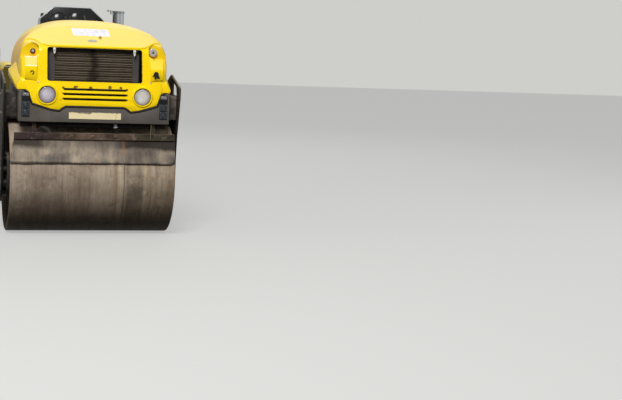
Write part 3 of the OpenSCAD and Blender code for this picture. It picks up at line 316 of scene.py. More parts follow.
def makeDrum():
    f = Finish("drumSteel", roughness=0.5, specular=0.08)
    # the drum turns, so its streaks run round it: they follow X alone, broken by a little of the rest
    broad = f.noise(7, 5, 0.65, f.stretched(1, 0.16, 0.16))
    streaks = f.noise(20, 7, 0.72, f.stretched(1, 0.08, 0.08))
    fine = f.noise(90, 5, 0.7, f.stretched(1, 0.06, 0.06))
    clouds = f.noise(3.4, 7, 0.68)
    f.colour = f.ramp(streaks * 0.36 + clouds * 0.36 + broad * 0.28, (0.34, (92, 77, 62)),
            (0.45, (142, 127, 109)), (0.54, (180, 165, 146)), (0.66, (208, 195, 176)))
    # warm in the middle, with an olive cast towards one end and a violet one towards the other
    side = f.step(f.x + (clouds - 0.5) * 0.5, -0.45, 0.45)
    f.over(0.28, f.mix(side, (140, 122, 112), (132, 112, 78)))
    f.over(f.step(fine, 0.55, 0.7) * 0.35, (78, 64, 50))
    f.over(f.step(1 - fine, 0.6, 0.72) * 0.3, (206, 192, 172))
    # a weld runs round the drum, with a pale band and a rust line on one side and a dark one on the other
    ragged = f.x + (streaks - 0.5) * 0.02
    pale = f.between(ragged, 0.196, 0.226, 0.016) * f.slope(clouds, 0.3, 0.6) * 0.55
    f.over(pale, (214, 198, 172))
    rustLine = f.between(ragged, 0.166, 0.182, 0.012) * f.slope(broad, 0.3, 0.6) * 0.5
    f.over(rustLine, (140, 98, 58))
    dark = f.between(ragged + (clouds - 0.5) * 0.06, 0.258, 0.394, 0.014) * f.slope(f.noise(6, 6, 0.7), 0.34,
            0.6) * 0.75
    f.over(dark * (1 - f.step(f.z + (clouds - 0.5) * 0.1, 0.49, 0.57) * 0.7), (92, 83, 74))
    yellowLine = f.between(ragged, 0.404, 0.416, 0.004) * f.step(clouds, 0.42, 0.6) * 0.7
    f.over(yellowLine, (196, 166, 104))
    seam = f.between(f.x + (f.noise(8, 3) - 0.5) * 0.004, 0.2385, 0.2425, 0.0012) * 0.85
    f.over(seam, (30, 24, 19))
    # earth is pressed on in patches, and polished off at the edges
    earth = f.spots(0.53, 0.66, 11, 7, 0.72) * 0.45
    f.over(earth, (104, 88, 68))
    scratch = f.noise(60, 2, 0.5, f.node("ShaderNodeMapping", None,
            {"Vector": f.place, "Rotation": (0, 0.62, 0), "Scale": (1, 0.05, 0.04)}))
    f.over(f.step(scratch, 0.7, 0.72) * f.step(clouds, 0.5, 0.6) * 0.5, (220, 208, 186))
    edgeBand = f.between(abs(f.x), 0.632, 0.652, 0.004) * 0.6
    f.over(edgeBand, (150, 132, 110))
    # painted shade: darker towards the bottom of the drum as it stands, darkest at its foot
    paintedLowShade = f.below(f.z + (clouds - 0.5) * 0.12, 0.04, 0.54) * 0.64
    f.over(paintedLowShade, (44, 35, 25))
    f.over(f.below(f.z + (clouds - 0.5) * 0.06, 0.02, 0.2) * 0.7, (14, 10, 6))
    # painted shade: the dished ends, the inside of the shell and the faces that look along the axle are
    # painted dark
    depth = ((abs(f.y) - 0.975) ** 2 + (f.z - 0.45) ** 2) ** 0.5
    f.over(f.below(depth, 0.436, 0.44) * 0.9, f.mix(clouds, (34, 30, 26), (60, 52, 43)))
    sideFacingShade = f.step(abs(f.faceX), 0.6, 0.9)
    f.over(sideFacingShade * 0.6, f.mix(clouds, (48, 42, 36), (76, 66, 54)))
    f.feed("Roughness", f.slope(streaks, 0.3, 0.7) * 0.2 + 0.48)
    f.bump(fine * 0.4 + f.noise(50, 5, 0.65) * 0.4 + seam * 0.6, 0.3, 0.002)
    return f.done()


def makeMat():
    f = Finish("matRubber", roughness=0.8, specular=0.1)
    runs = f.noise(12, 7, 0.75, f.stretched(1, 0.1, 0.2))
    fineRuns = f.noise(44, 5, 0.7, f.stretched(1, 0.1, 0.1))
    blots = f.noise(5, 6, 0.6)
    f.colour = f.ramp(runs * 0.4 + blots * 0.6, (0.36, (86, 77, 70)), (0.46, (126, 115, 104)),
            (0.54, (156, 143, 127)), (0.64, (190, 175, 150)))
    f.over(f.step(f.noise(4.5, 6, 0.65, f.stretched(1, 1, 0.8)), 0.5, 0.62) * 0.6, (112, 108, 106))
    f.over(f.step(fineRuns, 0.58, 0.68) * 0.3, (72, 62, 54))
    # darker along the top, as painted shade under the bar, and darker towards the right
    top = f.step(f.z + (blots - 0.5) * 0.12, 0.69, 0.735)
    leftEnd, rightEnd = 1 - f.step(f.x + (blots - 0.5) * 0.2, -0.42, -0.28), f.step(f.x + (blots - 0.5) * 0.2,
            0.06, 0.34)
    f.over(top * (leftEnd * 0.6 + rightEnd * 0.6 + 0.25) + rightEnd * 0.25 + 0.1, (58, 52, 48))
    rust = f.step(f.noise(7, 5, 0.6, f.stretched(1, 0.2, 0.4)), 0.6, 0.68) * 0.45
    f.over(rust, (150, 108, 78))
    patch = f.between(f.x + (blots - 0.5) * 0.12, 0.31, 0.45, 0.03) * f.step(f.z + (runs - 0.5) * 0.2, 0.69,
            0.73)
    f.over(patch * 0.7, (50, 42, 40))
    # painted shade: a dark band along the mat's foot
    foot = f.below(f.z + (runs - 0.5) * 0.02, 0.59, 0.603)
    f.over(foot * 0.8, (40, 33, 28))
    f.bump(runs * 0.4 + f.noise(110, 5, 0.65) * 0.6, 0.55, 0.003)
    return f.done()


def makePlain(name, base, shade, roughness=0.5, metallic=0.0, scale=30, bumps=0.1, dusty=0.25, coat=0.0,
        wear=0.0, specular=0.5):
    f = Finish(name, roughness=roughness, metallic=metallic, coat=coat, specular=specular)
    f.colour = f.mix(f.noise(scale * 0.3, 4), base, shade)
    settled = f.step(f.faceZ, 0.4, 0.95) * f.slope(f.noise(14, 4), 0.3, 0.8) * dusty
    f.over(settled, dust)
    if wear:
        f.over(f.edges(0.003) * wear, (150, 146, 140))
    f.feed("Roughness", f.slope(f.noise(scale, 3), 0.2, 0.8) * 0.16 + (roughness - 0.08))
    f.bump(f.noise(scale * 8, 3), bumps, 0.0008, rounded=0.002)
    return f.done()


def makeLens(name, centre, middle, rim, hot, highlightColour):
    # pressed glass over a bright bowl: ribs across it, rings round it, darker towards its rim, with a painted
    # highlight spot
    f = Finish(name, roughness=0.1, coat=0.7, Coat_Roughness=0.04, Alpha=0.82)
    far = (((f.x - centre[0]) ** 2 + (f.z - centre[1]) ** 2) ** 0.5) / 0.066
    f.colour = f.mix(f.step(far, 0.35, 1.0), middle, rim)
    # painted highlight: a bright spot on the glass
    glow = (((f.x - hot[0]) ** 2 + (f.z - hot[1]) ** 2) ** 0.5) / 0.066
    f.over(f.below(glow, 0.08, 0.62) * 0.85, highlightColour)
    ribs = f.node("ShaderNodeTexWave", {"wave_type": "BANDS", "bands_direction": "X"},
            {"Vector": f.place, "Scale": 38.0, "Distortion": 0.0}, out=1)
    rings = far.sum("SINE", far * 40)
    f.over(ribs * 0.14, (120, 118, 124))
    f.over(f.spots(0.5, 0.8, 30, 5) * 0.3, dust)
    f.bump(ribs + rings * 0.25, 0.5, 0.0015)
    return f.done()


def makePlate():
    f = Finish("plateCream", roughness=0.42, coat=0.1)
    f.colour = f.mix(f.noise(14, 5), (250, 234, 188), (236, 216, 168))
    # ragged dark dirt along the plate's upper edge, most of it left of the middle
    ragged = f.z + (f.noise(46, 5, 0.75, f.stretched(1, 1, 0.4)) - 0.5) * 0.04
    where = f.between(f.x, -0.125, -0.025, 0.02)
    dirt = f.step(ragged + where * 0.008, 0.982, 0.99)
    f.over(dirt * 0.8, (74, 58, 40))
    smear = f.spots(0.55, 0.75, 22, 6, 0.7) * 0.35
    f.over(smear, (186, 160, 108))
    crease = f.between(f.x, 0.162, 0.166, 0.0012) * 0.6
    f.over(crease, (150, 122, 76))
    return f.done()


def makeRadiator():
    f = Finish("radiatorDark", roughness=0.65, specular=0.1)
    f.colour = f.mix(f.noise(5, 4, 0.5), (40, 33, 29), (66, 56, 47))
    columns = f.node("ShaderNodeTexWave", {"wave_type": "BANDS", "bands_direction": "X"},
            {"Vector": f.place, "Scale": 62.0, "Distortion": 0.1}, out=1)
    f.over(columns * 0.4, (24, 19, 17))
    strip = f.step(abs(f.x), 0.303, 0.307)
    f.over(strip, f.mix(f.noise(9, 5), (92, 88, 88), (64, 60, 60)))
    # painted highlight on the slats' front edges
    slatEdgeHighlight = f.step(1 - f.faceY, 1.6, 1.9) * (1 - strip) * f.slope(f.noise(4, 4, 0.6), 0.3, 0.65)
    f.over(slatEdgeHighlight * 0.4, (134, 120, 104))
    fine = f.node("ShaderNodeTexWave", {"wave_type": "BANDS", "bands_direction": "Z"},
            {"Vector": f.place, "Scale": 25.0, "Distortion": 0.0}, out=1)
    f.over(fine * (1 - strip) * 0.7, (16, 13, 11))
    f.over((1 - fine) * (1 - strip) * 0.38, (146, 132, 110))
    # painted shade: a dark patch where the fan behind shows through
    worn = f.between(f.x + (f.noise(9, 5, 0.6) - 0.5) * 0.16, -0.04, 0.026, 0.03) * 0.75
    f.over(worn, (20, 17, 15))
    edge = f.step(f.x, 0.352, 0.358)
    f.over(edge, (12, 11, 12))
    f.bump(f.noise(60, 4), 0.2, 0.001)
    return f.done()


def makeVinyl():
    f = Finish("seatVinyl", roughness=0.48)
    grain = f.cells(420)
    f.colour = f.mix(f.noise(8, 4), (34, 34, 37), (46, 45, 47))
    f.over(f.spots(0.55, 0.8, 5, 5) * 0.4, dust)
    f.over(f.step(f.faceZ, 0.3, 0.9) * f.spots(0.4, 0.7, 3, 4) * 0.3, (84, 80, 76))
    f.feed("Roughness", f.slope(grain, 0.0, 0.5) * 0.2 + 0.38)
    f.bump(grain, 0.35, 0.0006)
    return f.done()


def makeExhaust():
    f = Finish("exhaustSteel", roughness=0.4, metallic=0.6)
    heat = f.step(f.z, 1.45, 1.62)
    f.colour = f.mix(f.noise(6, 5, 0.6, f.stretched(1, 1, 0.3)), (196, 204, 212), (130, 136, 144))
    f.over((1 - heat) * 0.7, (132, 96, 66))
    f.over(f.step(f.z, 1.765, 1.785) * f.spots(0.3, 0.6, 18, 5) * 0.6, soot)
    # painted shade on the side that faces −X
    f.over(f.below(f.faceX, -0.55, -0.1) * 0.85, (48, 50, 52))
    rust = f.spots(0.62, 0.7, 24, 6, 0.7) * 0.4
    f.over(rust, (120, 78, 48))
    f.feed("Roughness", 0.34 + f.spots(0.55, 0.7, 24, 6, 0.7) * 0.35)
    f.bump(f.noise(80, 5), 0.2, 0.001)
    return f.done()


# Name: main colour, second colour and what else differs from the maker's usual values
dustyFinishes = {
    "frameGrey": ((106, 101, 96), (76, 71, 66), dict(rust=0.45)),
    # the yokes are painted much darker than the frame, partly dirt and partly painted shade
    "yokeGrey": ((46, 42, 37), (26, 23, 20), dict(wear=(124, 117, 104), rust=0.4, edge=0.7, low=0.7)),
    # on the outriggers the dark left end is painted shade and the light right end is painted light
    "outriggerGrey": ((106, 101, 96), (76, 71, 66), dict(rust=0.45, ends=((58, 56, 52), (122, 113, 106)))),
    "barSteel": ((112, 90, 74), (62, 46, 40), dict(wear=(186, 166, 138), rust=0.6, scale=1.6, edge=0.9,
        ends=((50, 41, 43), (58, 57, 44)))),
    "castIron": ((60, 58, 58), (44, 42, 42), dict(rust=0.4, scale=2, edge=0.4)),
    "enginePaint": ((96, 100, 100), (66, 68, 68), dict(rust=0.2, scale=2, edge=0.3)),
    "treadBlack": ((56, 55, 56), (40, 39, 40), dict(rust=0.25, scale=1.5)),
}
plainFinishes = {
    "gapBlack": ((26, 23, 21), (40, 35, 31), dict(roughness=0.7, specular=0.2)),
    "blackRubber": ((12, 12, 12), (22, 21, 20), dict(roughness=0.6, bumps=0.2, dusty=0.06, specular=0.25)),
    "panelBlack": ((40, 40, 42), (52, 51, 52), dict(roughness=0.45, wear=0.4)),
    "dashBlack": ((12, 12, 15), (20, 19, 22), dict(roughness=0.22, coat=0.35, dusty=0.08, specular=0.2)),
    "lampBlack": ((24, 26, 30), (16, 17, 20), dict(roughness=0.4, dusty=0.1, specular=0.3)),
    "lampBlue": ((30, 42, 52), (20, 27, 34), dict(roughness=0.16, coat=0.6, dusty=0.12)),
    "rimGrey": ((176, 184, 188), (138, 144, 146), dict(roughness=0.3, coat=0.4, dusty=0.1)),
    "lampGrey": ((150, 148, 152), (96, 94, 98), dict(roughness=0.3, coat=0.4, dusty=0.2)),
    "pipeSteel": ((96, 92, 88), (62, 57, 52), dict(roughness=0.5, metallic=0.5)),
    "brightSteel": ((216, 218, 222), (190, 192, 198), dict(roughness=0.2, metallic=0.9, bumps=0.02,
        dusty=0.05)),
    "boltSteel": ((120, 112, 102), (84, 74, 66), dict(roughness=0.5, metallic=0.5, scale=50)),
    "lampRed": ((168, 26, 20), (140, 18, 14), dict(roughness=0.14, coat=0.8, dusty=0.1)),
    "lampAmber": ((214, 120, 20), (190, 96, 12), dict(roughness=0.14, coat=0.8, dusty=0.1)),
    "lensGrey": ((196, 190, 182), (150, 142, 134), dict(roughness=0.2, coat=0.6, dusty=0.2)),
    "bulbBrown": ((92, 66, 44), (60, 42, 30), dict(roughness=0.5, dusty=0.2)),
    "badgeGrey": ((206, 204, 188), (150, 146, 130), dict(roughness=0.3, coat=0.4, scale=60)),
    "capBlack": ((30, 30, 31), (40, 39, 39), dict(roughness=0.6, bumps=0.25)),
    "dialWhite": ((224, 222, 212), (208, 204, 192), dict(roughness=0.4, dusty=0.1)),
    "whiteClip": ((232, 230, 226), (196, 192, 186), dict(roughness=0.5, dusty=0.1)),
    "wireOlive": ((120, 124, 78), (84, 82, 52), dict(roughness=0.6)),
}
finishes = {
    "hoodYellow": makeYellow("hoodYellow", True),
    "tankYellow": makeYellow("tankYellow", False),
    "drumSteel": makeDrum(),
    "matRubber": makeMat(),
    "exhaustSteel": makeExhaust(),
    "radiatorDark": makeRadiator(),
    "plateCream": makePlate(),
    "lensLeft": makeLens("lensLeft", (-0.373, 1.118), (214, 204, 216), (150, 144, 154), (-0.385, 1.128),
        (232, 226, 234)),
    "lensRight": makeLens("lensRight", (0.373, 1.118), (236, 231, 218), (184, 180, 172), (0.366, 1.094),
        (255, 252, 246)),
    "seatVinyl": makeVinyl(),
}
for maker, table in ((makeDusty, dustyFinishes), (makePlain, plainFinishes)):
    for name, (base, shade, facts) in table.items():
        finishes[name] = maker(name, base, shade, **facts)
print("finishes made:", len(finishes))

coatedNodes = {
    "frameGrey": "front_frame front_nose hitch_ears rear_frame rear_nose platform_beams",
    "outriggerGrey": "front_outriggers rear_outriggers",
    "yokeGrey": "front_yokes rear_yokes",
    "blackRubber": "front_buffers hood_seal rear_buffers",
    "castIron": "front_hubs hitch_block rear_hubs",
    "barSteel": "front_bar rear_bar",
    "matRubber": "front_mat rear_mat",
    "gapBlack": "front_spray rear_spray",
    "radiatorDark": "radiator",
    "enginePaint": "engine",
    "panelBlack": "firewall steer_barrel travel_levers handrails seat_carriage",
    "exhaustSteel": "exhaust_pipe exhaust_cap",
    "lampBlack": "front_lamps",
    "plateCream": "number_plate",
    "hoodYellow": "hood_shell",
    "lensLeft": "headlamps",
    "lensGrey": "marker_lamps",
    "drumSteel": "front_drum rear_drum",
    "brightSteel": "steer_rod",
    "lampRed": "rear_lamps",
    "treadBlack": "platform steps",
    "dashBlack": "console seat_pan",
    "tankYellow": "tank",
    "capBlack": "filler_caps steering_wheel",
    "pipeSteel": "seat_rails",
    "seatVinyl": "seat_cushion seat_back",
}
nodeFinish = {name: finishName for finishName, names in coatedNodes.items() for name in names.split()}
for name, finishName in nodeFinish.items():
    nodes[name].data.materials.clear()
    nodes[name].data.materials.append(finishes[finishName])


# Mesh helpers
def turns(count, start=0.0):
    # even angles, right round
    return [start + 2 * pi * i / count for i in range(count)]


def newShapes(count):
    return [bmesh.new() for _ in range(count)]


def addMesh(name, mesh, finishName, sharp=35):
    piece = bpy.data.objects.new(name, mesh)
    bpy.context.collection.objects.link(piece)
    mesh.materials.clear()
    mesh.materials.append(finishes[finishName])
    for face in mesh.polygons:
        face.use_smooth = True
    mesh.set_sharp_from_angle(angle=radians(sharp))
    return piece


def addShape(name, shape, finishName, sharp=35, merge=0.00002):
    # shape is a bmesh that is used up here
    bmesh.ops.remove_doubles(shape, verts=shape.verts, dist=merge)
    bmesh.ops.recalc_face_normals(shape, faces=shape.faces)
    mesh = bpy.data.meshes.new(name)
    shape.to_mesh(mesh)
    shape.free()
    return addMesh(name, mesh, finishName, sharp)


def settle(piece):
    # modifiers become mesh
    graph = bpy.context.evaluated_depsgraph_get()
    mesh = bpy.data.meshes.new_from_object(piece.evaluated_get(graph))
    piece.modifiers.clear()
    old = piece.data
    piece.data = mesh
    bpy.data.meshes.remove(old)
    return piece


def loft(shape, rings, closeEnds=True, closed=True):
    # joins rings of equal length, each a list of points
    rows = [[shape.verts.new(p) for p in ring] for ring in rings]
    count = len(rows[0])
    for low, high in zip(rows, rows[1:]):
        for i in range(count if closed else count - 1):
            j = (i + 1) % count
            shape.faces.new((low[i], low[j], high[j], high[i]))
    if closeEnds:
        shape.faces.new(rows[0][::-1])
        shape.faces.new(rows[-1])
    return rows


def spun(pairs, angle, centre, turn):
    return [Vector(centre) + turn @ Vector((r * cos(angle), r * sin(angle), along)) for r, along in pairs]


def lathe(shape, profile, centre, axis, count=48):
    # profile is pairs of radius and distance along the axis, closed by a flat face at each end
    turn = Vector(axis).normalized().to_track_quat("Z", "Y").to_matrix()
    columns = [spun(profile, a, centre, turn) for a in turns(count)]
    loft(shape, list(zip(*columns)))


def turned(shape, outline, centre, axis, count=48):
    # a closed outline of (radius, distance along the axis), turned right round that axis
    turn = Vector(axis).normalized().to_track_quat("Z", "Y").to_matrix()
    rings = [spun(outline, 2 * pi * i / count, centre, turn) for i in range(count + 1)]
    loft(shape, rings, closeEnds=False)


def prism(shape, outline, low, high, axis="y"):
    # an outline of pairs, drawn out along one axis
    order = (0, 2, 1) if axis == "y" else (2, 0, 1)
    loft(shape, [[Vector([(a, b, d)[k] for k in order]) for a, b in outline] for d in (low, high)])


def roundedOutline(hw, hh, r, centre=(0, 0), steps=6):
    points = []
    for sx, sy, start in ((1, 1, 0), (-1, 1, 90), (-1, -1, 180), (1, -1, 270)):
        for i in range(steps + 1):
            a = radians(start + 90 * i / steps)
            points.append((centre[0] + sx * (hw - r) + r * cos(a), centre[1] + sy * (hh - r) + r * sin(a)))
    return points


def tube(shape, path, radius, count=16, closed=False):
    # a round bar along a path of points
    rings = []
    normal = None
    total = len(path)
    for i, p in enumerate(path):
        if closed:
            ahead = (Vector(path[(i + 1) % total]) - Vector(path[i - 1])).normalized()
        else:
            ahead = (Vector(path[min(i + 1, total - 1)]) - Vector(path[max(i - 1, 0)])).normalized()
        if normal is None:
            normal = ahead.orthogonal().normalized()
        normal = (normal - ahead * normal.dot(ahead)).normalized()
        side = ahead.cross(normal)
        rings.append([Vector(p) + radius * (cos(a) * normal + sin(a) * side) for a in turns(count)])
    if closed:
        rings.append(rings[0])
    loft(shape, rings, closeEnds=not closed)


def cutBy(piece, cutters, operation="DIFFERENCE"):
    for tool in cutters:
        change = piece.modifiers.new("cut", "BOOLEAN")
        change.operation, change.solver, change.object = operation, "EXACT", tool
        settle(piece)
    for tool in cutters:
        bpy.data.objects.remove(tool)


def ride(piece, body):
    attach(piece, body)
    return piece


def put(name, shape, finishName, body):
    return ride(addShape(name, shape, finishName), body)


# Trees of Geometry Nodes that put one head on each point, along the point's own direction
def scatterTree(name, sizes, axis, makeHead):
    tree = bpy.data.node_groups.new(name, "GeometryNodeTree")
    entries = [("Points", "INPUT", "Geometry")] + [(size, "INPUT", "Float") for size in sizes]
    for label, way, kind in entries + [("Finish", "INPUT", "Material"), ("Heads", "OUTPUT", "Geometry")]:
        tree.interface.new_socket(label, in_out=way, socket_type="NodeSocket" + kind)
    add, join = tree.nodes.new, tree.links.new
    start, end = add("NodeGroupInput"), add("NodeGroupOutput")
    facing = add("GeometryNodeInputNamedAttribute")
    facing.data_type = "FLOAT_VECTOR"
    facing.inputs["Name"].default_value = "facing"
    turn = add("FunctionNodeAlignRotationToVector")
    turn.axis = axis
    join(facing.outputs["Attribute"], turn.inputs["Vector"])
    spread = add("GeometryNodeInstanceOnPoints")
    join(start.outputs["Points"], spread.inputs["Points"])
    join(makeHead(add, join, start.outputs), spread.inputs["Instance"])
    join(turn.outputs[0], spread.inputs["Rotation"])
    real = add("GeometryNodeRealizeInstances")
    join(spread.outputs[0], real.inputs[0])
    coat = add("GeometryNodeSetMaterial")
    join(real.outputs[0], coat.inputs["Geometry"])
    join(start.outputs["Finish"], coat.inputs["Material"])
    join(coat.outputs[0], end.inputs["Heads"])
    return tree


def boltHead(add, join, given):
    # a six-sided head that stands on a thin washer
    head, washer = add("GeometryNodeMeshCylinder"), add("GeometryNodeMeshCylinder")
    fill(head, {"Vertices": 6})
    fill(washer, {"Vertices": 16, "Depth": 0.003})
    join(given["headRadius"], head.inputs["Radius"])
    join(given["headHeight"], head.inputs["Depth"])
    join(given["washerRadius"], washer.inputs["Radius"])
    half = add("ShaderNodeMath")
    half.operation = "MULTIPLY"
    half.inputs[1].default_value = 0.5
    join(given["headHeight"], half.inputs[0])
    lift = add("ShaderNodeCombineXYZ")
    join(half.outputs[0], lift.inputs["Z"])
    raised = add("GeometryNodeTransform")
    join(head.outputs["Mesh"], raised.inputs["Geometry"])
    join(lift.outputs[0], raised.inputs["Translation"])
    both = add("GeometryNodeJoinGeometry")
    join(raised.outputs[0], both.inputs[0])
    join(washer.outputs["Mesh"], both.inputs[0])
    return both.outputs[0]


boltHeads = scatterTree("boltHeads", ("headRadius", "headHeight", "washerRadius"), "Z", boltHead)


def growPoints(name, tree, points, facings, values):
    # a cloud of points that a tree turns into a plain mesh
    mesh = bpy.data.meshes.new(name)
    mesh.from_pydata([tuple(p) for p in points], [], [])
    store = mesh.attributes.new("facing", "FLOAT_VECTOR", "POINT")
    for entry, facing in zip(store.data, facings):
        entry.vector = facing
    piece = bpy.data.objects.new(name, mesh)
    bpy.context.collection.objects.link(piece)
    change = piece.modifiers.new("grow", "NODES")
    change.node_group = tree
    sockets = {s.name: s.identifier for s in tree.interface.items_tree if s.in_out == "INPUT"}
    for label, value in values.items():
        change[sockets[label]] = value
    return settle(piece)


def bolts(name, body, spots, radius=0.01, height=0.008, washer=None, finishName="boltSteel"):
    # spots is pairs of a place and the way the head faces
    piece = growPoints(name, boltHeads, [s[0] for s in spots], [s[1] for s in spots],
            {"headRadius": radius, "headHeight": height, "washerRadius": washer or radius * 1.35,
            "Finish": finishes[finishName]})
    return ride(piece, body)


def roundCorners(points, steps=5):
    # points are (across, up, corner radius)
    found = []
    for i, (a, b, r) in enumerate(points):
        if r == 0:
            found.append((a, b))
            continue
        here, before, after = (Vector(points[k % len(points)][:2]) for k in (i, i - 1, i + 1))
        u, w = (before - here).normalized(), (after - here).normalized()
        half = acos(max(-1, min(1, u.dot(w)))) / 2
        centre = here + (u + w).normalized() * r / sin(half)
        first, last = here + u * r / tan(half) - centre, here + w * r / tan(half) - centre
        start = atan2(first.y, first.x)
        turn = (atan2(last.y, last.x) - start + 3 * pi) % (2 * pi) - pi
        for k in range(steps + 1):
            angle = start + turn * k / steps
            found.append((centre.x + r * cos(angle), centre.y + r * sin(angle)))
    return found


def boxOf(shape, low, high):
    prism(shape, [(low[0], low[2]), (high[0], low[2]), (high[0], high[2]), (low[0], high[2])], low[1],
            high[1])


def roundBevel(piece, width, angle=40, segments=2):
    change = piece.modifiers.new("round", "BEVEL")
    change.width, change.segments = width, segments
    change.limit_method, change.angle_limit = "ANGLE", radians(angle)
    settle(piece)
    for face in piece.data.polygons:
        face.use_smooth = True
    piece.data.set_sharp_from_angle(angle=radians(angle))
    return piece


def softened(nodeName, body, width=0.003, segments=2):
    # a copy of a solid, its loose triangles joined and its edges rounded
    shape = bmesh.new()
    shape.from_mesh(nodes[nodeName].data)
    bmesh.ops.remove_doubles(shape, verts=shape.verts, dist=0.00005)
    bmesh.ops.dissolve_limit(shape, angle_limit=radians(0.6), verts=shape.verts, edges=shape.edges)
    words = nodeName.split("_")
    piece = addShape(words[0] + "".join(w.capitalize() for w in words[1:]) + "Softened", shape,
            nodeFinish[nodeName])
    roundBevel(piece, width, 30, segments)
    ride(piece, body)
    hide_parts(nodeName)
    return piece


# Hood: one smooth shell lofted over stations, cut by its openings
hood = {
    # distance from the pivot, half width, crest, height where the sides begin to arch, squareness
    "stations": [(0.45, 0.58, 1.702, 1.29, 2.6), (0.7, 0.58, 1.702, 1.29, 2.6), (0.95, 0.58, 1.701, 1.29,
        2.6), (1.08, 0.582, 1.686, 1.286, 3.1), (1.19, 0.582, 1.648, 1.276, 4.0), (1.25, 0.58, 1.588, 1.262,
        5.0), (1.295, 0.576, 1.517, 1.244, 5.4), (1.318, 0.569, 1.477, 1.234, 5.4),
        (1.388, 0.505, 1.095, 1.02, 8.0)],
    "wall": 0.008, "foot": 0.945, "rows": 110, "around": 34, "smoothing": 2,
    "hem": [(0.227, 1.038), (0.25, 1.025), (0.278, 1.003), (0.345, 1.012), (0.489, 1.055), (0.51, 1.114),
        (0.52, 1.143), (0.545, 1.149)],
    "sideEdge": [(-1.33, 1.149), (-1.04, 1.275), (-0.45, 1.275)],
    # flared skirt: distance forward, its lower edge, its outer edge's reach and top,
    # and where it leaves the side
    "flare": [(-1.354, 1.156, 0.597, 1.168, 0.562, 1.215), (-1.347, 1.149, 0.604, 1.174, 0.568, 1.23),
        (-1.25, 1.16, 0.614, 1.196, 0.578, 1.262), (-1.05, 1.2, 0.628, 1.25, 0.581, 1.318),
        (-0.88, 1.23, 0.635, 1.29, 0.58, 1.345), (-0.86, 1.236, 0.632, 1.286, 0.58, 1.34)],
    "opening": (0.367, 1.231, 1.482), "slots": (1.089, 1.127, 1.165), "slotHalf": (0.247, 0.009),
    "headlamp": (0.373, 1.118, 0.066, 0.019), "markerSeat": -1.272, "marker": (0.471, 1.453),
    "pockets": {1: (0.46, 1.465), -1: (0.471, 1.453)},
    "pocket": [(-0.036, -0.027, 0.016), (-0.035, 0.038, 0.014), (-0.008, 0.06, 0.03), (0.09, 0.08, 0),
        (0.17, 0.082, 0), (0.17, -0.064, 0), (0.062, -0.056, 0.03), (0.004, -0.046, 0.03)],
    "lostLamp": (0.486, 1.288, 0.009), "rounding": 0.0028,
    # planes that its cutters run between: well ahead of it, the nose plate's face, and behind the nose
    "ahead": -1.45, "nose": -1.309, "behind": -1.25,
}


def alongStations(stations, rows, passes):
    # even steps along the profile, then a little smoothing, which rounds its creases
    lengths = [0]
    for a, b in zip(stations, stations[1:]):
        lengths.append(lengths[-1] + hypot(b[0] - a[0], b[2] - a[2]))
    found = []
    for i in range(rows):
        at = lengths[-1] * i / (rows - 1)
        k = max(j for j in range(len(stations) - 1) if lengths[j] <= at + 1e-9)
        t = (at - lengths[k]) / (lengths[k + 1] - lengths[k])
        found.append([p + (q - p) * t for p, q in zip(stations[k], stations[k + 1])])
    for _ in range(passes):
        found = [found[0]] + [[(p + 2 * q + r) / 4 for p, q, r in zip(a, b, c)]
                for a, b, c in zip(found, found[1:], found[2:])] + [found[-1]]
    return found


def archPoints(y, halfWidth, crest, spring, squareness, foot, around, inset=0.0):
    halfWidth, crest = halfWidth - inset, crest - inset
    points = [Vector((halfWidth, -y, foot))]
    for i in range(2 * around + 1):
        a = pi * i / (2 * around)
        across, up = cos(a), sin(a)
        points.append(Vector((halfWidth * copysign(abs(across) ** (2 / squareness), across), -y,
                spring + (crest - spring) * up ** (2 / squareness))))
    points.append(Vector((-halfWidth, -y, foot)))
    return points


def hoodForm(name, inset):
    shape = bmesh.new()
    rows = alongStations(hood["stations"], hood["rows"], hood["smoothing"])
    rings = []
    for k, (y, halfWidth, crest, spring, squareness) in enumerate(rows):
        shift = 0.0
        if inset:
            # the cavity runs out through the rear and stops short of the nose
            shift = -inset * 2 * (1 - k / 8) if k < 8 else -inset * max(0, (y - 1.19) / 0.2)
        rings.append(archPoints(y + shift, halfWidth, crest, spring, squareness, hood["foot"] - inset * 2,
                hood["around"], inset))
    loft(shape, rings)
    return addShape(name, shape, "hoodYellow")


def mirroredOutline(half):
    return half + [(-x, z) for x, z in reversed(half)]


def cutter(build, *facts):
    # a piece that only cuts, made by prism or lathe
    shape = bmesh.new()
    build(shape, *facts)
    return addShape("cutter", shape, "hoodYellow")


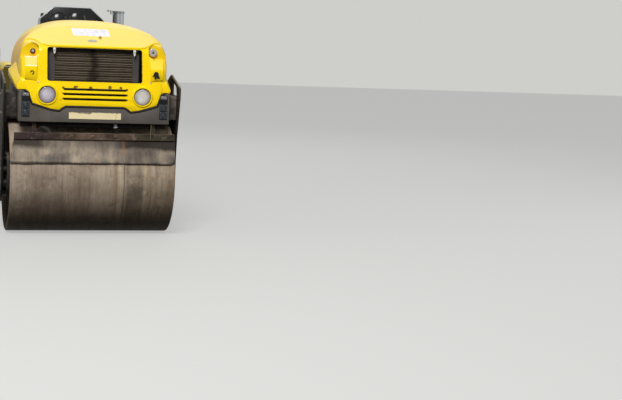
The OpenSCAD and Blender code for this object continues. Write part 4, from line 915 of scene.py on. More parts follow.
def buildHood():
    skin, ahead, behind = hoodForm("hoodSkin", 0), hood["ahead"], hood["behind"]
    whole = BVHTree.FromObject(skin, bpy.context.evaluated_depsgraph_get())
    cavity = hoodForm("hoodCavity", hood["wall"])
    x, z, r, ring = hood["headlamp"]
    markerX, markerZ = hood["marker"]
    # solid backs for the lamps stay in the cavity
    backs = []
    for s in (-1, 1):
        outline = [(s * (markerX - 0.056), 1.207), (s * 0.64, 1.207), (s * 0.64, markerZ + 0.096),
                (s * (markerX - 0.056), markerZ + 0.096)]
        backs.append(cutter(prism, outline, -1.33, hood["markerSeat"] + 0.008))
        backs.append(cutter(lathe, [(r + ring, -1.4), (r + ring, -1.33)], (s * x, 0, z), (0, 1, 0)))
    cutBy(cavity, backs)
    half = hood["hem"] + [(0.7, 1.149), (0.7, 0.9)]
    side = [(-1.31, 0.9), (-1.31, 1.1577)] + hood["sideEdge"][1:] + [(0.0, 1.275), (0.0, 0.9)]
    halfOpening, low, high = hood["opening"]
    middle = (low + high) / 2
    cutters = [cavity, cutter(prism, mirroredOutline(half), ahead, hood["nose"]), cutter(prism, side, -0.7,
            0.7, "x"), cutter(prism, roundedOutline(halfOpening, high - middle, 0.012, (0, middle)), ahead,
            behind + 0.01)]
    for slotZ in hood["slots"]:
        cutters.append(cutter(prism, roundedOutline(*hood["slotHalf"], 0.007, (0, slotZ)), ahead, behind))
    lostX, lostZ, lostR = hood["lostLamp"]
    for s in (-1, 1):
        cutters.append(cutter(lathe, [(r + 0.002, ahead), (r + 0.002, behind)], (s * x, 0, z), (0, 1, 0)))
        cutters.append(cutter(lathe, [(lostR, ahead), (lostR, behind + 0.005)], (s * lostX, 0, lostZ),
                (0, 1, 0), 24))
        pocketX, pocketZ = hood["pockets"][s]
        pocket = roundCorners([(s * (pocketX + a), pocketZ + b, c) for a, b, c in hood["pocket"]])
        cutters.append(cutter(prism, pocket, ahead, hood["markerSeat"]))
    cutBy(skin, cutters)
    return roundBevel(skin, hood["rounding"]), whole


print("hood: lofting and cutting")
hoodSkin, hoodFace = buildHood()


def onHood(x, z, out=0.0):
    # the point of the hood's uncut front at that place, moved outwards
    place, normal = hoodFace.ray_cast(Vector((x, -2.0, z)), Vector((0, 1, 0)))[:2]
    return place + (normal if normal.y < 0 else -normal) * out


def skinPatch(shape, corners, out, back, cells=(10, 10), edge=0.0015):
    # a thin plate that follows the hood's front; corners are its four ends as (across, up)
    (ax, az), (bx, bz), (cx, cz), (dx, dz) = corners
    rings = []
    for i in range(cells[0] + 1):
        u = i / cells[0]
        front, rear = [], []
        for k in range(cells[1] + 1):
            v = k / cells[1]
            x = (1 - v) * ((1 - u) * ax + u * bx) + v * ((1 - u) * dx + u * cx)
            z = (1 - v) * ((1 - u) * az + u * bz) + v * ((1 - u) * dz + u * cz)
            lift = out if 0 < i < cells[0] and 0 < k < cells[1] else out - edge
            front.append(onHood(x, z, lift))
            rear.append(onHood(x, z, -back))
        rings.append(front + rear[::-1])
    loft(shape, rings)


def buildHoodTrim():
    # lips along the side edges, hinge arms and the raised rings round the headlamps
    shape = bmesh.new()
    arm = [(-0.467, 1.643), (-0.443, 1.643), (-0.443, 1.679), (-0.575, 1.679), (-0.575, 1.665)]
    x, z, r, ring = hood["headlamp"]
    for s in (-1, 1):
        rings = []
        for y, low, out, top, jointX, jointZ in hood["flare"]:
            inner = 0.505 if y < -1.3 else 0.566
            section = roundCorners([(inner, low, 0), (out - 0.002, low, 0.012), (out, top, 0.008),
                    (jointX + 0.004, jointZ, 0.014), (inner, jointZ + 0.012, 0)], 4)
            rings.append([Vector((s * x, y, z)) for x, z in section])
        loft(shape, rings)
        # a raised brow runs across the nose and round the lamps' pockets
        if s > 0:
            half = [(0.0, 1.496), (0.2, 1.497), (0.35, 1.499), (0.395, 1.507), (0.43, 1.523), (0.465, 1.54),
                    (0.502, 1.546), (0.526, 1.538), (0.543, 1.517), (0.552, 1.488)]
            line = [(-x, z, 0.02) for x, z in reversed(half[1:])] + [(x, z, 0.02) for x, z in half]
            line[0], line[-1] = (*line[0][:2], 0), (*line[-1][:2], 0)
            tube(shape, [onHood(x, z, -0.0015 - max(0, abs(x) - 0.53) * 0.55)
                    for x, z in roundCorners(line, 4)], 0.0095, 10)
        outline = [(r - 0.001, -1.36), (r + 0.001, -1.3905), (r + 0.004, -1.3945), (r + ring * 0.5, -1.395),
                (r + ring - 0.004, -1.3915), (r + ring, -1.3845), (r + ring, -1.365)]
        turned(shape, outline, (s * x, 0, z), (0, 1, 0), 64)
        prism(shape, arm, s * 0.241, s * 0.253, "x")
        lathe(shape, [(0.008, -0.012), (0.008, 0.012)], (s * 0.24, -0.455, 1.655), (1, 0, 0), 20)
    return addShape("hoodTrim", shape, "hoodYellow")


hoodTrim = buildHoodTrim()
for piece in (hoodSkin, hoodTrim):
    ride(piece, "hood")
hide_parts("hood_shell")

# What is fixed on the hood's front: cover plates, a blank badge, clips and what is left of a broken lamp
face = {
    "coverLeft": [(-0.546, 1.241), (-0.45, 1.222), (-0.455, 1.333), (-0.546, 1.338)],
    "coverRight": [(0.436, 1.239), (0.54, 1.257), (0.54, 1.34), (0.438, 1.338)],
    "plane": -1.3668, "fold": 1.336, "slopeTop": (1.41, 1.422),
    "badge": (-0.018, 1.544, 0.04, 0.0095), "hook": (-0.49, 1.287, 0.0125), "trimWidth": 0.004,
        "beadRadius": 0.0092,
    "stub": [(-0.03, -0.004), (-0.022, 0.01), (-0.018, 0.026), (-0.004, 0.034), (0.012, 0.03), (0.02, 0.012),
        (0.018, 0.002), (0.028, -0.008), (0.024, -0.022), (0.012, -0.016), (0.004, -0.012), (-0.004, -0.026),
        (-0.014, -0.022), (-0.014, -0.006)],
    "clips": (-0.317, 0.312),
}


def buildFace():
    covers, badge, dark, clips = newShapes(4)
    for cover, slopeTop in zip((face["coverLeft"], face["coverRight"]), face["slopeTop"]):
        # a flat cover, proud at its top, where a slope leads back to the hood
        (ax, az), (bx, bz) = cover[:2]
        rings = []
        for u in (0, 0.02, 0.06, 0.5, 0.94, 0.98, 1):
            x, low = ax + (bx - ax) * u, az + (bz - az) * u
            dip = {0: 0.004, 0.02: 0.0012}.get(min(u, round(1 - u, 2)), 0)
            crown, plane = onHood(x, slopeTop, 0.001 - dip), face["plane"] + dip
            rings.append([crown, Vector((x, plane + 0.0032, face["fold"] + 0.0052)),
                    Vector((x, plane + 0.0012, face["fold"] + 0.003)), Vector((x, plane, face["fold"])),
                    Vector((x, plane, low + 0.003)), Vector((x, plane + 0.002, low)), onHood(x, low, -0.006),
                    onHood(x, slopeTop - 0.006, -0.006)])
        loft(covers, rings)
        # a dark joint shows round each cover
        midX, midZ = (sum(p[i] for p in cover) / 4 for i in (0, 1))
        skinPatch(dark, [(x + copysign(0.0035, x - midX), z + copysign(0.0035, z - midZ)) for x, z in cover],
                0.0009, 0.002)
        low = min(cover, key=lambda p: p[1])
        lathe(badge, [(0.003, 0.004), (0.007, 0.003), (0.007, -0.004)],
                onHood(low[0] + 0.004, low[1] - 0.008), (0, -1, 0.2), 6)
    x, z, halfWide, halfHigh = face["badge"]
    rings = []
    for scale, out in ((1.0, -0.001), (1.0, 0.0025), (0.93, 0.004), (0.6, 0.0046), (0.05, 0.0048)):
        rings.append([onHood(x + halfWide * scale * cos(a), z + halfHigh * scale * sin(a), out)
                for a in turns(40)])
    loft(badge, rings)
    # a hook is left in the hole of the left cover
    hookX, hookZ, hookR = face["hook"]
    tube(dark, [Vector((hookX + hookR * cos(a), face["plane"] - 0.0015, hookZ + hookR * sin(a)))
            for a in (radians(d) for d in range(-100, 191, 20))], 0.0038, 8)
    # jagged remains of the right lower lamp
    lostX, lostZ = hood["lostLamp"][:2]
    rings = [[Vector((lostX - 0.004 + a * k, face["plane"] - out, lostZ + b * k)) for a, b in face["stub"]]
            for k, out in ((1.0, -0.001), (1.0, 0.006), (0.75, 0.011), (0.3, 0.008))]
    loft(dark, rings)
    # black rubber round the radiator opening
    halfOpening, low, high = hood["opening"]
    middle = (low + high) / 2
    loop = [onHood(px, pz, -0.001) for px, pz in roundedOutline(halfOpening + 0.002, high - middle + 0.002,
            0.014, (0, middle), 4)]
    tube(dark, loop, face["trimWidth"], 8, closed=True)
    for cx in face["clips"]:
        top = onHood(cx, high + 0.002, 0.004)
        outline = [(cx - 0.009, high + 0.003), (cx + 0.008, high + 0.003), (cx + 0.011, high - 0.01),
                (cx + 0.006, high - 0.044), (cx - 0.004, high - 0.046), (cx - 0.01, high - 0.012)]
        prism(clips, outline, top.y - 0.004, top.y + 0.003)
        lathe(clips, [(0.004, -0.003), (0.007, -0.001), (0.007, 0.003), (0.004, 0.005)],
                (cx, top.y - 0.006, high - 0.012), (0, -1, 0), 16)
    hoodCovers = addShape("hoodCovers", covers, "hoodYellow")
    made = [(hoodCovers, "hood_yellow"), (addShape("blankBadge", badge, "badgeGrey"), "plate_cream"),
            (addShape("hoodRubber", dark, "blackRubber"), "seal_rubber"),
            (addShape("grilleClips", clips, "whiteClip"), "plate_cream")]
    for piece, slotName in made:
        ride(piece, "hood")


def buildSeal():
    # a thick rubber bead along the nose plate's upper edge
    shape = bmesh.new()
    half = [(x + 0.002, z - 0.0093) for x, z in hood["hem"][:-1]] + [(0.548, 1.15)]
    line = [(-x, z, 0.01) for x, z in reversed(half)] + [(x, z, 0.01) for x, z in half]
    line[0], line[-1] = (*line[0][:2], 0), (*line[-1][:2], 0)
    tube(shape, [(x, -1.3965, z) for x, z in roundCorners(line, 3)], face["beadRadius"], 12)
    put("hemSealBead", shape, "blackRubber", "front_frame")


buildFace()
buildSeal()

# Headlamps: bright bowl, bulb, ribbed glass and a thin dark ring
lampSizes = {"glassFront": -1.389, "bowlDepth": 0.055, "bulb": 0.011}


def buildHeadlamps():
    x, z, r = hood["headlamp"][:3]
    front = lampSizes["glassFront"]
    bowl, ring = newShapes(2)
    for s in (-1, 1):
        at = (s * x, 0, z)
        cup = [(r - 0.0005, front + 0.014), (r - 0.003, front + 0.02), (r * 0.86, front + 0.034),
                (r * 0.6, front + 0.05), (r * 0.3, front + lampSizes["bowlDepth"] + 0.006),
                (0.012, front + lampSizes["bowlDepth"] + 0.01), (0.012, front + 0.075),
                (r * 0.62, front + 0.062), (r * 0.9, front + 0.04), (r, front + 0.016)]
        turned(bowl, cup, at, (0, 1, 0))
        lathe(bowl, [(lampSizes["bulb"] * 0.4, front + 0.022), (lampSizes["bulb"], front + 0.03),
                (lampSizes["bulb"], front + 0.072)], at, (0, 1, 0), 20)
        turned(ring, [(r - 0.002, front + 0.005), (r + 0.0005, front - 0.0005), (r + 0.0035, front + 0.001),
                (r + 0.0035, front + 0.012), (r - 0.002, front + 0.012)], at, (0, 1, 0), 64)
    made = [addShape("headlampBowls", bowl, "brightSteel"), addShape("headlampRings", ring, "blackRubber")]
    for s, finishName in ((-1, "lensLeft"), (1, "lensRight")):
        glass = bmesh.new()
        dome = [(r * sin(a), front + 0.01 * (1 - cos(a))) for a in (radians(d) for d in range(2, 91, 8))]
        lathe(glass, dome + [(r - 0.001, front + 0.013), (r * 0.5, front + 0.006), (0.002, front + 0.004)],
                (s * x, 0, z), (0, 1, 0), 64)
        made.append(addShape("headlamp" + finishName.capitalize(), glass, finishName))
    for piece in made:
        ride(piece, "hood")
    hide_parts("headlamps")
    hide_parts("headlamps")


buildHeadlamps()

# Small lamps: a round one on the picture's right, and a bare bulb in its hole on the left
smallLamps = {"right": (0.4625, 1.469), "left": (-0.48, 1.45), "radius": 0.0335, "proud": 0.016}


def buildSmallLamps():
    seat, r = hood["markerSeat"], smallLamps["radius"]
    glass, hole, bulb = newShapes(3)
    x, z = smallLamps["right"]
    front = smallLamps["proud"]
    lathe(glass, [(0.0095, 0.0142 + front), (0.014, 0.015 + front), (r * 0.7, 0.0148 + front),
            (r * 0.93, 0.012 + front), (r, 0.007 + front), (r, 0.0)], (x, seat, z), (0, -1, 0), 40)
    lathe(hole, [(0.004, 0.0165 + front), (0.009, 0.016 + front), (0.0095, 0.013 + front)], (x, seat, z),
            (0, -1, 0), 24)
    x, z = smallLamps["left"]
    turned(hole, [(0.012, 0.001), (0.02, 0.001), (0.021, 0.005), (0.016, 0.007), (0.012, 0.005)],
            (x, seat, z), (0, -1, 0), 32)
    lathe(hole, [(0.013, 0.002), (0.013, 0.0)], (x, seat, z), (0, -1, 0), 24)
    lathe(bulb, [(0.003, 0.022), (0.008, 0.019), (0.0105, 0.012), (0.008, 0.006), (0.007, 0.001)],
            (x, seat, z), (0, -1, 0), 24)
    made = [addShape("smallLampGlass", glass, "lensGrey"), addShape("smallLampHoles", hole, "bulbBrown"),
            addShape("bareBulb", bulb, "lensGrey")]
    for piece in made:
        ride(piece, "hood")
    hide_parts("marker_lamps")


buildSmallLamps()
print("hood and its lamps made")

# Lamp stacks at the nose plate's ends: a small reflector, two ribs and two square lamps with round glasses
stack = {"x": 0.54, "front": -1.4, "wide": 0.062, "low": 0.946, "high": 1.136, "pods": (0.98, 1.039),
        "podHalf": 0.0275}


def buildStacks():
    black, blue, bright = newShapes(3)
    front, half = stack["front"], stack["wide"] / 2
    for s in (-1, 1):
        x = s * stack["x"]
        prism(black, roundedOutline(half, (stack["high"] - stack["low"]) / 2, 0.006,
                (x, (stack["high"] + stack["low"]) / 2)), front - 0.004, front + 0.001)
        for z in (1.081, 1.094):
            boxOf(black, (x - half, front - 0.014, z - 0.0025), (x + half, front - 0.002, z + 0.0025))
        prism(bright, roundedOutline(0.024, 0.012, 0.004, (x, 1.119)), front - 0.012, front - 0.002)
        lathe(bright, [(0.004, 0.017), (0.009, 0.014), (0.01, 0.008)],
                (x - 0.004, front, 1.119), (0, -1, 0), 16)
        for z in stack["pods"]:
            size = stack["podHalf"]
            rings = [[Vector((a, y, b)) for a, b in roundedOutline(size - cut, size - cut, 0.008, (x, z))]
                    for y, cut in ((front - 0.002, 0.0), (front - 0.01, 0.0), (front - 0.0135, 0.003))]
            loft(blue, rings)
            turned(black, [(0.0155, 0.012), (0.019, 0.012), (0.019, 0.0165), (0.0165, 0.0178),
                    (0.0155, 0.015)], (x, front, z), (0, -1, 0), 28)
            lathe(blue, [(0.003, 0.017), (0.01, 0.0162), (0.0158, 0.014), (0.0158, 0.01)], (x, front, z),
                    (0, -1, 0), 28)
    for piece in (addShape("lampStackBacks", black, "lampBlack"), addShape("lampStackPods", blue, "lampBlue"),
            addShape("lampStackReflectors", bright, "lampGrey")):
        ride(piece, "front_frame")
        if piece.name == "lampStackBacks":
            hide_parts("front_lamps")


buildStacks()

# The two ends of the machine, and which way each looks along Y
ends = (("front", -1), ("rear", 1))

# Wiper bar and mat: a bent flat bar with a wavy rubber sheet hung behind it
bar = {"left": -0.622, "right": 0.636, "low": 0.767, "high": 0.822, "front": -1.384, "thick": 0.014,
        "rise": 0.007, "columns": 90, "hangerX": (0.45, 0.482), "hangerZ": (0.778, 0.93),
        "bolts": (-0.178, -0.011, 0.168), "boltZ": 0.796, "bevel": 0.0025, "dents": 26, "seed": 11}
mat = {"left": -0.65, "right": 0.646, "topZ": 0.816, "bendZ": 0.762, "footZ": 0.585, "topY": -1.3625,
        "footY": -1.4106, "thick": 0.0078, "columns": 170, "rows": 20, "corner": 0.034, "slant": 0.03,
        "wave": 0.006, "seed": 4}


def buildBar(name, body, nodeName, end):
    rnd = random.Random(bar["seed"])
    dents = [(rnd.uniform(-0.6, 0.6), rnd.uniform(0.01, 0.05), rnd.uniform(-0.0022, 0.0012))
            for _ in range(bar["dents"])]
    rings = []
    for k in range(bar["columns"] + 1):
        u = k / bar["columns"]
        x = bar["left"] + (bar["right"] - bar["left"]) * u
        dent = sum(depth * exp(-((x - at) / wide) ** 2) for at, wide, depth in dents)
        low, high = bar["low"] + bar["rise"] * u + dent * 0.5, bar["high"] + bar["rise"] * u + dent
        front, back = bar["front"] + abs(dent) * 0.8, bar["front"] + bar["thick"]
        c = bar["bevel"]
        rings.append([Vector((x, y * -end, z)) for y, z in ((front + c, high), (front, high - c),
                (front, low + c), (front + c, low), (back - c, low), (back, low + c), (back, high - c),
                (back - c, high))])
    shape = bmesh.new()
    loft(shape, rings)
    back = bar["front"] + bar["thick"] + mat["thick"]
    for s in (-1, 1):
        inner, outer = sorted(s * x for x in bar["hangerX"])
        low, high = sorted((back * -end, (back + bar["thick"]) * -end))
        boxOf(shape, (inner, low, bar["hangerZ"][0]), (outer, high, bar["hangerZ"][1]))
    piece = addShape(name, shape, "barSteel", 30)
    ride(piece, body)
    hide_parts(nodeName)
    spots = [(Vector((x, bar["front"] * -end, bar["boltZ"] + bar["rise"] * (x + 0.62) / 1.26)),
            Vector((0, end, 0))) for x in bar["bolts"]]
    bolts(name + "Bolts", body, spots, radius=0.0085, height=0.005, washer=0.012, finishName="barSteel")


def buildMat(name, body, nodeName, end):
    rnd = random.Random(mat["seed"])
    waves = [(rnd.uniform(3, 21), rnd.uniform(0, 6.28), rnd.uniform(0.4, 1.0)) for _ in range(6)]
    nicks = [(rnd.uniform(-1, 1), rnd.uniform(0.004, 0.02), rnd.uniform(0.001, 0.004)) for _ in range(30)]
    total = sum(w[2] for w in waves)
    outer, inner = [], []
    for i in range(mat["rows"] + 1):
        z = mat["topZ"] + (mat["footZ"] - mat["topZ"]) * i / mat["rows"]
        bend = max(0.0, (mat["bendZ"] - z) / (mat["bendZ"] - mat["footZ"]))
        rowOut, rowIn = [], []
        for k in range(mat["columns"] + 1):
            u = 2 * k / mat["columns"] - 1
            wave = max(0.0, sum(a * sin(f * u + p) for f, p, a in waves) / total)
            left = mat["left"] + mat["slant"] * (1 - bend) + 0.003 * sin(z * 90)
            right = mat["right"]
            low = z - mat["footZ"]
            if low < mat["corner"]:
                right -= mat["corner"] - sqrt(mat["corner"] ** 2 - (mat["corner"] - low) ** 2)
            x = left + (right - left) * (u + 1) / 2
            y = mat["topY"] + (mat["footY"] - mat["topY"]) * bend - wave * mat["wave"] * bend
            nick = sum(deep * exp(-((u - at) / wide) ** 2) for at, wide, deep in nicks) * (i == mat["rows"])
            foot = z + nick + 0.004 * sin(2.3 * u + 0.6) * bend
            rowOut.append(Vector((x, (y - mat["thick"]) * -end, foot)))
            rowIn.append(Vector((x, y * -end, foot)))
        outer.append(rowOut)
        inner.append(rowIn)
    shape = bmesh.new()
    loft(shape, [[outer[i][k] for i in range(mat["rows"] + 1)]
            + [inner[i][k] for i in range(mat["rows"], -1, -1)] for k in range(mat["columns"] + 1)])
    piece = addShape(name, shape, "matRubber", sharp=50)
    ride(piece, body)
    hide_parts(nodeName)


for name, end in ends:
    buildBar(name + "WiperBar", name + "_frame", name + "_bar", end)
    buildMat(name + "WiperMat", name + "_frame", name + "_mat", end)


# A white hose clip on the water pipe, a tie wire down to the bar, and a small worn bracket
underNose = {
    "clip": (0.17, -1.325, 0.878), "clipLeg": ((0.159, -1.358, 0.868), (0.183, -1.342, 0.896)),
    "wireRadius": 0.0022,
    "wire": [(0.447, -1.3852, 0.915), (0.449, -1.3868, 0.88), (0.445, -1.3872, 0.84), (0.447, -1.3866, 0.79)],
    "bracket": [(-0.425, 0.866), (-0.385, 0.872), (-0.35, 0.852), (-0.336, 0.824), (-0.352, 0.822),
        (-0.372, 0.842), (-0.405, 0.856)],
}


def buildUnderNose():
    clip, wire, bracket = newShapes(3)
    turned(clip, [(0.0145, -0.012), (0.02, -0.012), (0.02, 0.012), (0.0145, 0.012)], underNose["clip"],
            (1, 0, 0), 24)
    boxOf(clip, *underNose["clipLeg"])
    tube(wire, underNose["wire"], underNose["wireRadius"], 8)
    prism(bracket, underNose["bracket"], -1.372, -1.366)
    for shape, name, finishName in ((clip, "hoseClip", "whiteClip"), (wire, "tieWire", "wireOlive"),
            (bracket, "hoseBracket", "castIron")):
        put(name, shape, finishName, "front_frame")


buildUnderNose()
print("nose, bars and mats made")

# Drums: turned shells with dished ends
drumSizes = {"outer": 0.45, "inner": 0.432, "half": 0.65, "edge": 0.012, "discX": 0.524, "disc": 0.016,
        "bore": 0.06005, "boss": 0.105, "bossLength": 0.045, "axleY": 0.975, "axleZ": 0.45, "around": 192,
        "plugs": 4, "plugReach": 0.33, "studs": 12, "studReach": 0.225}


def buildDrum(name, body, end):
    d = drumSizes
    shape = bmesh.new()
    at = (0, end * d["axleY"], d["axleZ"])
    shell = roundCorners([(d["inner"], -d["half"], 0.002), (d["outer"], -d["half"], d["edge"]),
            (d["outer"], d["half"], d["edge"]), (d["inner"], d["half"], 0.002)], 5)
    turned(shape, shell, at, (1, 0, 0), d["around"])
    for s in (-1, 1):
        disc = [(d["bore"], s * (d["discX"] - d["bossLength"])),
                (d["boss"], s * (d["discX"] - d["bossLength"])), (d["boss"], s * d["discX"]),
                (d["inner"] + 0.001, s * d["discX"]),
                (d["inner"] + 0.001, s * (d["discX"] + d["disc"] + 0.01)),
                (d["inner"] - 0.01, s * (d["discX"] + d["disc"])), (d["bore"], s * (d["discX"] + d["disc"]))]
        turned(shape, disc, at, (1, 0, 0), 96)
    piece = addShape(name, shape, "drumSteel", 30)
    ride(piece, body)
    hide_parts(body)
    spots = []
    for s in (-1, 1):
        face = s * (d["discX"] + d["disc"])
        for reach, angles in ((d["studReach"], turns(d["studs"], pi / d["studs"])),
                (d["plugReach"], turns(d["plugs"]))):
            for a in angles:
                spots.append((Vector((face, at[1] + reach * cos(a), at[2] + reach * sin(a))),
                        Vector((s, 0, 0))))
    bolts(name + "Studs", body, spots, radius=0.013, height=0.012)


for name, end in ends:
    buildDrum(name + "DrumTurned", name + "_drum", end)
print("drums made")

# Frame, yokes and other plain solids get rounded edges
softEdges = {
    "front_frame": ("front_frame", "frame_grey", 0.003), "front_nose": ("front_frame", "frame_grey", 0.003),
    "front_outriggers": ("front_frame", "frame_grey", 0.006),
    "hitch_ears": ("front_frame", "frame_grey", 0.003), "front_yokes": ("front_frame", "yoke_grey", 0.003),
    "rear_frame": ("rear_frame", "frame_grey", 0.003),
    "rear_nose": ("rear_frame", "frame_grey", 0.003), "rear_outriggers": ("rear_frame", "frame_grey", 0.006),
    "platform_beams": ("rear_frame", "frame_grey", 0.002), "rear_yokes": ("rear_frame", "yoke_grey", 0.003),
    "tank": ("rear_frame", "hood_yellow", 0.004), "platform": ("rear_frame", "tread_black", 0.003),
    "steps": ("rear_frame", "tread_black", 0.0015), "seat_pan": ("seat", "dash_black", 0.003),
}
for nodeName, (body, slotName, width) in softEdges.items():
    softened(nodeName, body, width)
print("edges rounded:", len(softEdges))

# Bolts: their heads stand on the faces named here
boltPlaces = {
    "hubFace": 0.6945, "hubRing": (0.04, 6), "yokeFace": 0.698, "yokeRing": (0.14, 8),
    "yokeAlong": (-0.19, -0.065, 0.065, 0.19), "yokeHeights": (0.952, 1.098),
    "deckX": (0.12, 0.36, 0.6), "deckY": (0.02, 0.4), "deckTop": 0.96, "wallY": -0.485,
    "wall": ((0.08, 0.975), (0.3, 0.975), (0.5, 0.975), (0.5, 1.16)),
}


def ringOfBolts(x, end, radius, count, start=0.0):
    y, z = end * drumSizes["axleY"], drumSizes["axleZ"]
    way = Vector((1 if x > 0 else -1, 0, 0))
    return [(Vector((x, y + radius * cos(a), z + radius * sin(a))), way) for a in turns(count, start)]


def placeBolts():
    b = boltPlaces
    for name, end in ends:
        hubs, yokes = [], []
        for s in (-1, 1):
            hubs += ringOfBolts(s * b["hubFace"], end, *b["hubRing"])
            yokes += ringOfBolts(s * b["yokeFace"], end, *b["yokeRing"], pi / 8)
            for along in b["yokeAlong"]:
                for z in b["yokeHeights"]:
                    # one upper bolt is left out on each yoke, the one furthest forward
                    if z < 1.0 or along * end > -0.1:
                        place = Vector((s * b["yokeFace"], end * drumSizes["axleY"] + along * end, z))
                        yokes.append((place, Vector((s, 0, 0))))
        bolts(name + "HubBolts", name + "_frame", hubs, radius=0.007, height=0.006)
        bolts(name + "YokeBolts", name + "_frame", yokes, radius=0.012, height=0.009)
    deck = [(Vector((s * x, y, b["deckTop"])), Vector((0, 0, 1))) for s in (-1, 1) for x in b["deckX"]
            for y in b["deckY"]]
    bolts("platformBolts", "rear_frame", deck, radius=0.008, height=0.005)
    wall = [(Vector((s * x, b["wallY"], z)), Vector((0, 1, 0))) for s in (-1, 1) for x, z in b["wall"]]
    bolts("firewallBolts", "front_frame", wall, radius=0.007, height=0.005)


placeBolts()
print("bolts placed")

# Controls: dashboard with its rim and dials, steering wheel, levers
dash = {"x": -0.04, "top": 1.812, "baseHalf": 0.2, "half": 0.275, "topHalf": 0.15, "foot": 0.96,
        "rim": 0.0044, "lobes": [(-0.152, 1.7, 0.07), (0.004, 1.712, 0.074)], "dialX": (-0.105, 0.0, 0.105),
        "dialR": 0.036}


def dashOutline():
    d, top = dash, dash["top"]
    half = [(d["baseHalf"], d["foot"], 0), (d["baseHalf"], top - 0.52, 0.08), (d["half"], top - 0.36, 0.06),
            (d["half"], top - 0.11, 0.03), (d["topHalf"], top, 0.026)]
    return roundCorners([(d["x"] + a, b, r) for a, b, r in half]
            + [(d["x"] - a, b, r) for a, b, r in half[::-1]], 6)


def buildDash():
    d, top = dash, dash["top"]
    shape = bmesh.new()
    prism(shape, dashOutline(), -0.2, 0.3)
    body = addShape("dashBody", shape, "dashBlack")
    side = roundCorners([(-0.07, d["foot"], 0), (0.07, d["foot"], 0), (0.07, top - 0.44, 0.06),
            (0.15, top - 0.34, 0.03), (0.15, top - 0.215, 0.04), (-0.056, top, 0.014), (-0.096, top, 0.014),
            (-0.11, top - 0.33, 0.06), (-0.07, top - 0.48, 0.06)], 6)
    cutBy(body, [cutter(prism, side, -0.4, 0.4, "x")], "INTERSECT")
    roundBevel(body, 0.006, 35, 3)
    # two instrument pods swell from the front face
    pods, rim, dial, black = newShapes(4)
    for x, z, r in d["lobes"]:
        lathe(pods, [(r * sin(radians(a)) + 0.0005, 0.026 * cos(radians(a))) for a in range(0, 91, 9)]
                + [(r, -0.012)], (x, -0.097, z), (0, -1, 0.12), 40)
    # light rim along the outline of the front face, its pale grey partly a painted highlight
    edge = [(d["half"], top - 0.33, 0), (d["half"], top - 0.11, 0.03), (d["topHalf"], top, 0.026)]
    line = roundCorners([(d["x"] - a, b, r) for a, b, r in edge]
            + [(d["x"] + a, b, r) for a, b, r in edge[::-1]], 6)
    tube(rim, [(x, -0.1105 + max(0, z - top + 0.33) * 0.0424, min(z, top - 0.0045)) for x, z in line],
            d["rim"], 8)
    # dials on the sloped face behind
    slope = Vector((0, 0.206, -0.215)).normalized()
    normal = Vector((0, -slope.z, slope.y))
    middle = Vector((d["x"], -0.056, top)) + slope * 0.15
    for dx in d["dialX"]:
        at = middle + Vector((dx, 0, 0))
        r = d["dialR"]
        turned(black, [(r - 0.003, -0.004), (r + 0.004, -0.004), (r + 0.004, 0.005), (r, 0.008),
                (r - 0.003, 0.006)], at, normal, 36)
        lathe(dial, [(0.001, 0.0025), (r - 0.002, 0.0025), (r - 0.002, -0.003)], at, normal, 36)
        for k in range(11):
            a = radians(-30 + 24 * k)
            ray = cos(a) * Vector((-1, 0, 0)) - sin(a) * slope
            tube(black, [at + ray * (r * 0.7) + normal * 0.0032, at + ray * (r * 0.88) + normal * 0.0032],
                    0.0008, 4)
        needle = cos(0.6 + dx * 9) * Vector((-1, 0, 0)) - sin(0.6 + dx * 9) * slope
        tube(black, [at + normal * 0.0038, at + needle * r * 0.75 + normal * 0.0038], 0.0011, 6)
        lathe(black, [(0.001, 0.0062), (0.004, 0.0055), (0.004, 0.002)], at, normal, 16)
    for k in range(6):
        at = middle + Vector((-0.15 + 0.06 * k, 0, 0)) + slope * 0.062
        lathe(black, [(0.003, 0.016), (0.0045, 0.014), (0.003, 0.004), (0.009, 0.003), (0.009, -0.003)], at,
                normal, 16)
    made = [body, addShape("dashPods", pods, "dashBlack"), addShape("dashRim", rim, "rimGrey"),
            addShape("dialFaces", dial, "dialWhite"), addShape("dialRings", black, "capBlack")]
    for piece in made:
        ride(piece, "rear_frame")
    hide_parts("console")
    # steering column, kept apart from the dashboard's body
    column = bmesh.new()
    tilt = radians(wheelSizes["lean"])
    centre, lean = Vector(wheelSizes["centre"]), Vector((0, sin(tilt), cos(tilt)))
    turned(column, [(0.01005, -0.09), (0.0235, -0.09), (0.0235, -0.03), (0.02, -0.023), (0.01005, -0.023)],
            centre, lean, 32)
    lathe(column, [(0.024, -0.09), (0.024, -0.125), (0.034, -0.14), (0.034, -0.175)], centre, lean, 32)
    for k in range(5):
        turned(column, [(0.023, -0.096 - 0.007 * k), (0.028, -0.098 - 0.007 * k),
                (0.023, -0.101 - 0.007 * k)], centre, lean, 32)
    put("steeringColumn", column, "capBlack", "rear_frame")


wheelSizes = {"centre": (-0.04, 0.236, 1.692), "lean": 30, "radius": 0.176, "rim": 0.0138, "spokes": 3,
        "grips": 40}


